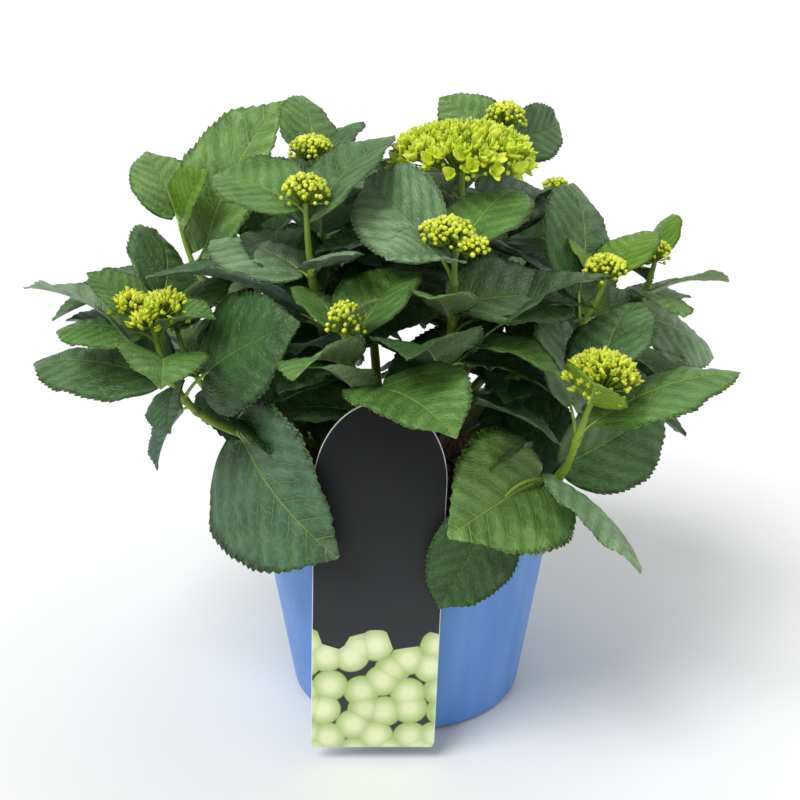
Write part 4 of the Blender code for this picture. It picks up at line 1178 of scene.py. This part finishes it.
def leaf_finish(name, deep, lit, vein, under):
    """Living leaf.  The upper face has a thin wax coat: satin, with painted light that lightens its
    colour on the swelling between side veins, which run yellow-green, with a net of small veins and
    a fine pale margin.  The lower face is duller and paler, and its veins stand out.

    The map "blade" gives x along the leaf and y across it, as shares of its length.  As in the
    blade's own surface, a side vein runs where c, which counts them, is a whole number."""
    material, tree, shader = finish(name, Roughness=0.58 if under else 0.40,
                                    **{"Specular IOR Level": 0.22 if under else 0.34})
    place = add(tree, "SeparateXYZ", {0: add(tree, "UVMap", uv_map="blade")})
    x, y = place.outputs[0], place.outputs[1]
    out = add(tree, "Math", {0: y}, operation="ABSOLUTE")
    lean = add(tree, "Math", {0: out, 1: VEIN_CURVE, 2: VEIN_LEAN}, operation="MULTIPLY_ADD")
    shift = add(tree, "Math", {0: out, 1: lean}, operation="MULTIPLY")
    run = add(tree, "Math", {0: x, 1: shift}, operation="SUBTRACT")
    left = add(tree, "Math", {0: y, 1: 0.0}, operation="GREATER_THAN")
    half = add(tree, "Math", {0: left, 1: 0.5}, operation="MULTIPLY")
    c = add(tree, "Math", {0: run, 1: VEINS, 2: half}, operation="MULTIPLY_ADD")
    away = add(tree, "Math", {0: c, 1: 0.5}, operation="PINGPONG")
    # side veins thin outwards and fade before the margin, the midrib thins to the tip
    thin = add(tree, "MapRange", {0: out, 1: 0.0, 2: 0.42, 3: 0.050, 4: 0.020})
    side_vein = add(tree, "MapRange", {0: away, 1: 0.008, 2: thin, 3: 1.0, 4: 0.0})
    end = add(tree, "MapRange", {0: out, 1: 0.26, 2: 0.42, 3: 1.0, 4: 0.25})
    side_vein = add(tree, "Math", {0: side_vein, 1: end}, operation="MULTIPLY")
    wide = add(tree, "MapRange", {0: x, 1: 0.0, 2: 1.0, 3: 0.016, 4: 0.004})
    midrib = add(tree, "MapRange", {0: out, 1: 0.002, 2: wide, 3: 1.0, 4: 0.0})
    main = add(tree, "Math", {0: side_vein, 1: midrib}, operation="MAXIMUM")
    # the net: cells about 3.5 mm across on a leaf of 90 mm, drawn out between the side veins
    run_out = add(tree, "CombineXYZ", {0: c, 1: y})
    spread = add(tree, "Mapping", {"Vector": run_out, "Scale": (3.2, 21.0, 1.0)})
    net = add(tree, "TexVoronoi", {"Vector": spread, "Scale": 1.0, "Randomness": 0.9},
              feature="DISTANCE_TO_EDGE")
    small = add(tree, "MapRange", {0: net, 1: 0.0, 2: 0.13, 3: 1.0, 4: 0.0})
    within = add(tree, "TexCoord").outputs["Object"]
    cloud = add(tree, "TexNoise", {"Vector": within, "Scale": 1 / LEAF_PATCH, "Detail": 3.0})
    grain = add(tree, "TexNoise", {"Vector": within, "Scale": 1 / LEAF_GRAIN, "Detail": 2.0})
    # lighter in random patches, and painted light on the swelling between two side veins
    puff = add(tree, "MapRange", {0: away, 1: 0.0, 2: 0.5, 3: 0.0, 4: 0.55})
    patches_and_painted_light = add(tree, "Math", {0: cloud, 1: 2.1, 2: -0.68}, operation="MULTIPLY_ADD")
    patches_and_painted_light = add(tree, "Math", {0: puff, 1: patches_and_painted_light}, operation="ADD")
    patches_and_painted_light = add(tree, "Math", {0: patches_and_painted_light, 1: 0.80}, operation="MULTIPLY", use_clamp=True)
    ground = add(tree, "Mix", {0: patches_and_painted_light, 6: linear(deep), 7: linear(lit)}, data_type="RGBA")
    span = add(tree, "SeparateXYZ", {0: add(tree, "UVMap", uv_map="span")}).outputs[1]
    shares = (add(tree, "Math", {0: small, 1: 0.34 if under else 0.16}, operation="MULTIPLY"),
              add(tree, "Math", {0: main, 1: 0.85 if under else 0.72}, operation="MULTIPLY"),
              add(tree, "MapRange", {0: span, 1: 0.955, 2: 1.0, 3: 0.0, 4: 0.65}))
    for share in shares:
        ground = add(tree, "Mix", {0: share, 6: ground, 7: linear(vein)}, data_type="RGBA")
    # veins are sunk above and stand out below
    fine = add(tree, "Math", {0: small, 1: 0.6 if under else -0.45}, operation="MULTIPLY")
    coarse = add(tree, "Math", {0: main, 1: 1.4 if under else -1.1, 2: fine}, operation="MULTIPLY_ADD")
    height = add(tree, "Math", {0: grain, 1: 0.5, 2: coarse}, operation="MULTIPLY_ADD")
    bump = add(tree, "Bump", {"Strength": 0.9, "Distance": 0.8 * MM, "Height": height})
    fill(shader, {"Base Color": ground, "Normal": bump})
    return material


def stem_finish(name, fresh, aged, marked):
    """Green bark: smooth and satin, yellow-green, browning with age.  A marked stem has dark oval
    flecks along it and purple-brown scars at its nodes."""
    material, tree, shader = finish(name, Roughness=0.42)
    place = add(tree, "TexCoord").outputs["Object"]
    cloud = add(tree, "TexNoise", {"Vector": place, "Scale": 1 / STEM_PATCH, "Detail": 4.0})
    streak = add(tree, "MapRange", {0: cloud, 1: 0.35, 2: 0.70})
    ground = add(tree, "Mix", {0: streak, 6: linear(fresh), 7: linear(aged)}, data_type="RGBA")
    if marked:
        mark = add(tree, "SeparateXYZ", {0: add(tree, "UVMap", uv_map="mark")})
        scar = add(tree, "Math", {0: mark.outputs[0], 1: streak}, operation="MULTIPLY")
        old = add(tree, "MapRange", {0: mark.outputs[1], 1: 0.45, 2: 1.0, 3: 0.0, 4: 0.8})
        bark = add(tree, "Mapping", {"Vector": add(tree, "UVMap", uv_map="bark"),
                                     "Scale": (FLECKS_ROUND, 1 / FLECK_PITCH, 1.0)})
        flecks = add(tree, "TexVoronoi", {"Vector": bark, "Scale": 1.0}, feature="F1")
        fleck = add(tree, "MapRange", {0: flecks, 1: 0.10, 2: 0.24, 3: 0.75, 4: 0.0})
        for share, colour in ((old, "#6f6a33"), (fleck, "#4c4a26"), (scar, "#55332c")):
            ground = add(tree, "Mix", {0: share, 6: ground, 7: linear(colour)}, data_type="RGBA")
    bump = add(tree, "Bump", {"Strength": 0.5, "Distance": 0.4 * MM, "Height": cloud})
    fill(shader, {"Base Color": ground, "Normal": bump})
    return material


def wood_finish():
    """Old hydrangea wood: thin papery bark in vertical strips about 2.5 mm wide and 8 mm long,
    grey-brown over a warmer brown."""
    material, tree, shader = finish("old_wood", Roughness=0.85)
    bark = add(tree, "Mapping", {"Vector": add(tree, "UVMap", uv_map="bark"), "Scale": (16.0, 3.0, 1.0)})
    strips = add(tree, "TexNoise", {"Vector": bark, "Scale": 1.6, "Detail": 6.0, "Distortion": 0.6})
    share = add(tree, "MapRange", {0: strips, 1: 0.35, 2: 0.68})
    ground = add(tree, "Mix", {0: share, 6: linear("#3f2c1f"), 7: linear("#8a7358")}, data_type="RGBA")
    bump = add(tree, "Bump", {"Strength": 0.9, "Distance": 1.2 * MM, "Height": strips})
    fill(shader, {"Base Color": ground, "Normal": bump})
    return material


def cloud_over(tree, shader, patch, detail, low, high, colours):
    """Two colours in soft patches of a given size, which also stand up a little."""
    place = add(tree, "TexCoord").outputs["Object"]
    cloud = add(tree, "TexNoise", {"Vector": place, "Scale": 1 / patch, "Detail": detail})
    share = add(tree, "MapRange", {0: cloud, 1: low, 2: high})
    ground = add(tree, "Mix", {0: share, 6: linear(colours[0]), 7: linear(colours[1])}, data_type="RGBA")
    bump = add(tree, "Bump", {"Strength": 0.4, "Distance": 0.3 * MM, "Height": cloud})
    fill(shader, {"Base Color": ground, "Normal": bump})


def bud_finish(name, *colours):
    """A fleshy young bud: waxy, slightly darker in soft patches that stand up a little."""
    material, tree, shader = finish(name, Roughness=0.45, **{"Subsurface Weight": 0.25,
                                                             "Subsurface Scale": 1.2 * MM})
    shader.inputs["Subsurface Radius"].default_value = (0.8, 1.0, 0.3)
    cloud_over(tree, shader, BUD_PATCH, 3.0, 0.38, 0.66, colours)
    return material


def band_finish():
    """Pale elastic band: natural rubber, a little cloudy, its skin finely wrinkled."""
    material, tree, shader = finish("tie_band", Roughness=0.5)
    cloud_over(tree, shader, BAND_PATCH, 4.0, 0.36, 0.66, ("#d9cfae", "#bdb088"))
    return material


def pot_finish():
    """Injection-moulded polypropylene: satin, with a faint pebbled skin, faint upright flow streaks
    and peat dust on it here and there."""
    material, tree, shader = finish("blue_polypropylene", IOR=1.49)
    place = add(tree, "TexCoord").outputs["Object"]
    stretched = add(tree, "Mapping", {"Vector": place,
                                      "Scale": (1 / FLOW_WIDTH, 1 / FLOW_WIDTH, 1 / FLOW_LENGTH)})
    flow = add(tree, "TexNoise", {"Vector": stretched, "Scale": 1.0, "Detail": 3.0})
    share = add(tree, "MapRange", {0: flow, 1: 0.35, 2: 0.65})
    ground = add(tree, "Mix", {0: share, 6: linear("#4f86cc"), 7: linear("#5c92d4")}, data_type="RGBA")
    dust = add(tree, "TexNoise", {"Vector": place, "Scale": 1 / DUST_PATCH, "Detail": 8.0,
                                  "Roughness": 0.7})
    dusty = add(tree, "MapRange", {0: dust, 1: 0.60, 2: 0.80, 3: 0.0, 4: 0.28})
    ground = add(tree, "Mix", {0: dusty, 6: ground, 7: linear("#8aa0bd")}, data_type="RGBA")
    rough = add(tree, "MapRange", {0: dust, 1: 0.3, 2: 0.8, 3: 0.33, 4: 0.52})
    skin = add(tree, "TexNoise", {"Vector": place, "Scale": 1 / POT_GRAIN, "Detail": 1.0})
    bump = add(tree, "Bump", {"Strength": 0.18, "Distance": 0.2 * MM, "Height": skin})
    fill(shader, {"Base Color": ground, "Roughness": rough, "Normal": bump})
    return material


def peat_finish():
    """Moist peat compost: dull dark brown crumbs, lighter in patches."""
    material, tree, shader = finish("peat_compost", Roughness=0.95)
    place = add(tree, "TexCoord").outputs["Object"]
    crumbs = add(tree, "TexVoronoi", {"Vector": place, "Scale": 1 / PEAT_CRUMB})
    cloud = add(tree, "TexNoise", {"Vector": place, "Scale": 1 / PEAT_PATCH, "Detail": 6.0})
    share = add(tree, "MapRange", {0: cloud, 1: 0.40, 2: 0.72})
    ground = add(tree, "Mix", {0: share, 6: linear("#1d1410"), 7: linear("#4a3424")}, data_type="RGBA")
    bump = add(tree, "Bump", {"Strength": 1.0, "Distance": 1.5 * MM, "Height": crumbs})
    fill(shader, {"Base Color": ground, "Normal": bump})
    return material


def tag_finish():
    """Printed polypropylene sheet under a satin varnish: black, lightened to grey downwards by a painted
    reflection of the floor, a bed of plain pale-green petals over its foot, and a painted highlight,
    a fine pale line just inside its edge."""
    material, tree, shader = finish("printed_sheet", Roughness=0.42, **{"Specular IOR Level": 0.10})
    place = add(tree, "SeparateXYZ", {0: add(tree, "TexCoord").outputs["Object"]})
    z = place.outputs[2]
    # x from the tag's own middle line, which is a little out of plumb
    rise = add(tree, "Math", {0: z, 1: TAG_SHOULDER}, operation="SUBTRACT")
    tilt = add(tree, "Math", {0: rise, 1: -math.tan(math.radians(TAG_TILT)), 2: -TAG_X},
               operation="MULTIPLY_ADD")
    x = add(tree, "Math", {0: place.outputs[0], 1: tilt}, operation="ADD")
    # painted reflection of the floor: the black lightens to grey towards the foot
    painted_reflection = add(tree, "MapRange", {0: z, 1: TAG_FOOT, 2: TAG_TOP, 3: 1.0, 4: 0.0})
    ground = add(tree, "Mix", {0: painted_reflection, 6: linear("#151618"), 7: linear("#434445")}, data_type="RGBA")
    # round petals, each one left out or kept whole by where its middle lies
    flat = add(tree, "CombineXYZ", {0: x, 1: z})
    cells = add(tree, "TexVoronoi", {"Vector": flat, "Scale": 1 / PETAL_PITCH, "Randomness": 0.75},
                voronoi_dimensions="2D")
    rim = add(tree, "MapRange", {0: cells, 1: 0.20, 2: 0.72})
    own = add(tree, "SeparateColor", {0: cells.outputs["Color"]})
    rim = add(tree, "Math", {0: own, 1: 0.30, 2: rim}, operation="MULTIPLY_ADD", use_clamp=True)
    petal = add(tree, "Mix", {0: rim, 6: linear("#e6edc0"), 7: linear("#a4bb74")}, data_type="RGBA")
    inside = add(tree, "MapRange", {0: cells, 1: 0.66, 2: 0.72, 3: 1.0, 4: 0.0})
    middle = add(tree, "SeparateXYZ", {0: cells.outputs["Position"]}).outputs[1]
    bed = add(tree, "Math", {0: middle, 1: TAG_FOOT + PETAL_BED}, operation="LESS_THAN")
    share = add(tree, "Math", {0: inside, 1: bed}, operation="MULTIPLY")
    ground = add(tree, "Mix", {0: share, 6: ground, 7: petal}, data_type="RGBA")
    # the line, a painted highlight of the cut edge: how far out a point lies between the middle line and
    # the straight or arched edge
    above = add(tree, "Math", {0: rise, 1: 0.0}, operation="MAXIMUM")
    across = add(tree, "Math", {0: x, 1: 2 / TAG_WIDTH}, operation="MULTIPLY")
    up = add(tree, "Math", {0: above, 1: 1 / (TAG_TOP - TAG_SHOULDER)}, operation="MULTIPLY")
    outward = add(tree, "VectorMath", {0: add(tree, "CombineXYZ", {0: across, 1: up})}, operation="LENGTH")
    line = add(tree, "MapRange", {0: outward, 1: 0.984, 2: 0.992, 3: 0.0, 4: 0.9})
    ground = add(tree, "Mix", {0: line, 6: ground, 7: linear("#dfe3e6")}, data_type="RGBA")
    ink = add(tree, "TexNoise", {"Vector": flat, "Scale": 1 / INK_GRAIN})
    bump = add(tree, "Bump", {"Strength": 0.08, "Distance": 0.2 * MM, "Height": ink})
    fill(shader, {"Base Color": ground, "Normal": bump})
    return material


# ---- everything together -------------------------------------------------------------------------

TINTS = (
    # name, deep and lit colour of the upper face, its veins, then the same three of the lower face
    # shaded is a darker copy that paints shade; bright and pale are partly lighter greens of their own and
    # partly painted light
    ("young", "#37660a", "#679618", "#aec43c", "#6c9a20", "#88b034", "#bcd06c"),
    ("bright", "#26541a", "#628f47", "#a6bf4e", "#638a52", "#8ca872", "#b8ca90"),
    ("grown", "#224a22", "#567f4f", "#95aa50", "#5c8258", "#82a076", "#a8ba8a"),
    ("bluish", "#1e4026", "#4c7250", "#8aa255", "#567866", "#7e9c86", "#a6b997"),
    ("shaded", "#1a3a18", "#376233", "#738c3e", "#48693f", "#66875c", "#95a87c"),
    ("pale", "#44693f", "#82a57b", "#a9bf7e", "#80a07e", "#a4bb9f", "#c6d2b4"),
    ("fresh", "#35621f", "#76a056", "#b4c85e", "#6e9a5c", "#98b480", "#c2d298"),
)
TINT_NAMES = [row[0] for row in TINTS]
# the leaves whose tint is their own, by shoot and place in its table; shaded gives a leaf painted shade,
# and bright and pale give it painted light as well as a lighter green of its own
OWN_TINT = {
    "left": {0: "bright", 1: "bright", 2: "bright", 3: "bright", 4: "bright", 5: "grown", 6: "grown",
             7: "shaded", 8: "pale", 9: "bluish", 10: "bluish", 11: "bluish"},
    "centre_left": {0: "bright", 1: "bright", 2: "bright", 3: "bright", 4: "bright", 5: "bright"},
    "right_low": {0: "young", 1: "grown", 2: "bright", 3: "pale", 4: "grown", 5: "fresh", 6: "pale",
                  7: "shaded"},
    "centre": {0: "pale", 1: "bright", 2: "pale", 3: "grown", 4: "bright"},
    "upper_left_front": {0: "bright", 1: "grown", 2: "pale", 3: "pale", 4: "shaded"},
    "crown": {0: "grown", 1: "bluish", 2: "bluish"},
    "right_high": {0: "young", 1: "young", 2: "bright", 3: "grown"},
    "left_tip": {0: "young", 1: "fresh", 2: "fresh"},
    "upper_left": {0: "bright", 1: "grown", 2: "grown"},
    "crown_back": {0: "fresh", 1: "grown"},
    "right_back": {0: "young", 1: "bright", 2: "bright", 3: "pale"},
    "back_right": {0: "bluish", 1: "grown"},
}
# for the others, how far below the tip a choice reaches, and what is drawn from; lower down the draws lean
# to shaded, which is painted shade deep in the shrub
DRAWN_TINTS = ((20, ("bright", "bright", "grown")),
               (75, ("grown", "bluish", "grown", "bright")),
               (math.inf, ("shaded", "grown", "shaded", "bluish")))
# name, colour, and the darker colour of its raised patches
BUD_COLOURS = (("bud_lime", "#dde43a", "#b9c52a"), ("bud_yellow", "#e8ec4a", "#ccd438"),
               ("bud_green", "#bfcf38", "#9caf28"))
SEPAL_COLOURS = (("sepal_lime", "#d6e632", "#bcd026"), ("sepal_pale", "#e8f05a", "#d2e03c"),
                 ("sepal_green", "#bed42c", "#a2bc22"))
# the inside is filled up by leaves on the bare boughs, low down where little light comes in
INNER_TRIES = 110                    # draws for a bough
INNER_MOST = 11                      # leaves kept on it
INNER_FIRST = 58                     # nearest to the shoot's tip, mm
INNER_KNOB_GAP = 28                  # nearest to the knob, mm
INNER_HEIGHT = 300 * MM              # none starts higher
INNER_REACH = 135 * MM               # none ends further from the pot's middle line


def inner_leaves(shoot, line, standing, taken):
    """Leaves on a bare bough: seeded draws of place, heading and length, kept where there is room,
    low down and near the pot's middle line."""
    draw = random.Random(shoot.name + " inner")
    others = standing + others_of(shoot, taken)
    lowest = line[1][0] / MM - INNER_KNOB_GAP
    rows = []
    for _ in range(INNER_TRIES):
        drop = draw.uniform(INNER_FIRST, max(lowest, INNER_FIRST + 2))
        node = along(line, drop * MM)
        outward = math.degrees(math.atan2(node[1], node[0]))
        leaf = Leaf(drop, outward + draw.uniform(-95, 95), draw.uniform(-38, 16), draw.uniform(62, 96),
                    roll=draw.uniform(-20, 20), arch=draw.uniform(6, 14), fold=draw.uniform(2, 16),
                    width=draw.uniform(0.76, 0.88))
        shape = leaf_shape(leaf, line, ELBOW_ROOM * LEAF_THICK)
        tip = leaf_point(leaf, leaf_foot(leaf, line), 1.0, 0)
        low = drop <= lowest and node[2] < INNER_HEIGHT and math.hypot(tip[0], tip[1]) < INNER_REACH
        if low and inside_space(shape) and not touches(shape, others):
            rows.append(leaf)
            others.append(obstacle(leaf_shape(leaf, line, LEAF_THICK)))
            taken[shoot.name].append(obstacle(shape))
            if len(rows) == INNER_MOST:
                break
    return rows


def tint_of(shoot, number, leaf, draw):
    """A leaf's own tint if its table gives one; else drawn, darker the further below the tip, where the
    shaded tint paints shade.
    """
    if number in OWN_TINT.get(shoot.name, {}):
        return TINT_NAMES.index(OWN_TINT[shoot.name][number])
    for lowest, choice in DRAWN_TINTS:
        if leaf.drop < lowest:
            return TINT_NAMES.index(draw.choice(choice))


def pot_space():
    """The room that pot and soil take up, as one plain turned solid."""
    return turned(((0, 0), (BASE_RADIUS, 0), (RIM_RADIUS, POT_HEIGHT - BEAD_DEPTH),
                   (RIM_RADIUS, POT_HEIGHT + 1 * MM), (RIM_RADIUS - 5 * MM, POT_HEIGHT + 1 * MM),
                   (inner_radius(SOIL_TOP), SOIL_TOP), (0, SOIL_TOP)), 48)


def make_foliage(lines, grown, taken, standing):
    """Every shoot's leaves, those of the solids first and then the ones inside, each with its tint."""
    finishes = []
    for name, *colours in TINTS:
        finishes.append(leaf_finish(f"{name}_leaf_upper", *colours[:3], False))
        finishes.append(leaf_finish(f"{name}_leaf_lower", *colours[3:], True))
    leaves_of = {}
    for shoot in SHOOTS:
        line = lines[shoot.name]
        draw = random.Random(shoot.name + " tints")
        outer = grown[shoot.name]
        inner = [(leaf, None) for leaf in inner_leaves(shoot, line, standing, taken)]
        leaves = [(leaf, tint_of(shoot, number, leaf, draw)) for leaf, number in outer + inner]
        make_leaves(shoot.name, leaves, line, finishes, bool(shoot.leaves), len(outer))
        leaves_of[shoot.name] = leaves
    return leaves_of


def main():
    lines = {shoot.name: shoot_line(shoot) for shoot in SHOOTS}
    tied = lines["centre_left"]
    way = tie_path(tied)
    tie_room = tube(way, [TIE_RADIUS + 0.6 * MM] * len(way), 6)
    standing = [obstacle(shape) for shape in
                (pot_space(), tag_shape(), tie_room, *[knob_shape(name) for name in KNOBS])]
    leaves_of = make_foliage(lines, *grow(lines, standing), standing)
    make_stems(leaves_of, lines, stem_finish("green_bark", "#84a232", "#6d8c2a", True))
    make_stalks(leaves_of, lines, stem_finish("leaf_stalk", "#8fb03a", "#7a9c34", False))
    twig = stem_finish("bud_twig", "#8fa630", "#6f8a28", False)
    make_bud_heads([bud_finish(*row) for row in BUD_COLOURS], twig)
    make_open_head([bud_finish(*row) for row in SEPAL_COLOURS], twig)
    make_knobs(wood_finish())
    make_pot(pot_finish())
    make_soil(peat_finish())
    make_tag(tag_finish())
    make_tie(tied, band_finish())


def make_studio():
    """A plain white floor out to the horizon, under a white sky that is brightest at its foot, and
    two wide soft suns: a key from the upper left and a fainter one from behind."""
    bpy.ops.mesh.primitive_plane_add(size=160, location=(0, 0, -0.0005))
    floor = bpy.context.object
    floor.name = "studio_floor"
    material, _, shader = finish("white_floor", Roughness=0.9)
    shader.inputs["Base Color"].default_value = linear("#e9e9e9")
    floor.data.materials.append(material)
    scene = bpy.context.scene
    scene.view_settings.view_transform = "Standard"
    world = bpy.data.worlds.new("white_sky")
    world.use_nodes = True
    tree = world.node_tree
    background = tree.nodes["Background"]
    height = add(tree, "SeparateXYZ", {0: add(tree, "TexCoord").outputs["Generated"]}).outputs[2]
    glow = add(tree, "MapRange", {0: height, 1: 0.10, 2: 0.30, 3: 1.0, 4: 0.56})
    fill(background, {"Color": (1, 1, 1, 1), "Strength": glow})
    scene.world = world
    for name, heading, spread, power in (("key", (0.5, 0.45, -1.0), 34, 2.2),
                                         ("rim", (-0.5, -0.9, -1.2), 60, 0.6)):
        lamp = bpy.data.lights.new(name, "SUN")
        lamp.angle = math.radians(spread)
        lamp.energy = power
        hung = bpy.data.objects.new(name, lamp)
        hung.rotation_euler = Vector(heading).to_track_quat("-Z", "Y").to_euler()
        scene.collection.objects.link(hung)
    camera = bpy.data.cameras.new("camera")
    camera.lens = 54
    camera.sensor_width = 36
    seen_from = bpy.data.objects.new("camera", camera)
    seen_from.location = (-0.00465, -0.804, 0.512)
    seen_from.rotation_euler = (math.radians(70), 0, 0)
    scene.collection.objects.link(seen_from)
    scene.camera = seen_from


main()
make_studio()
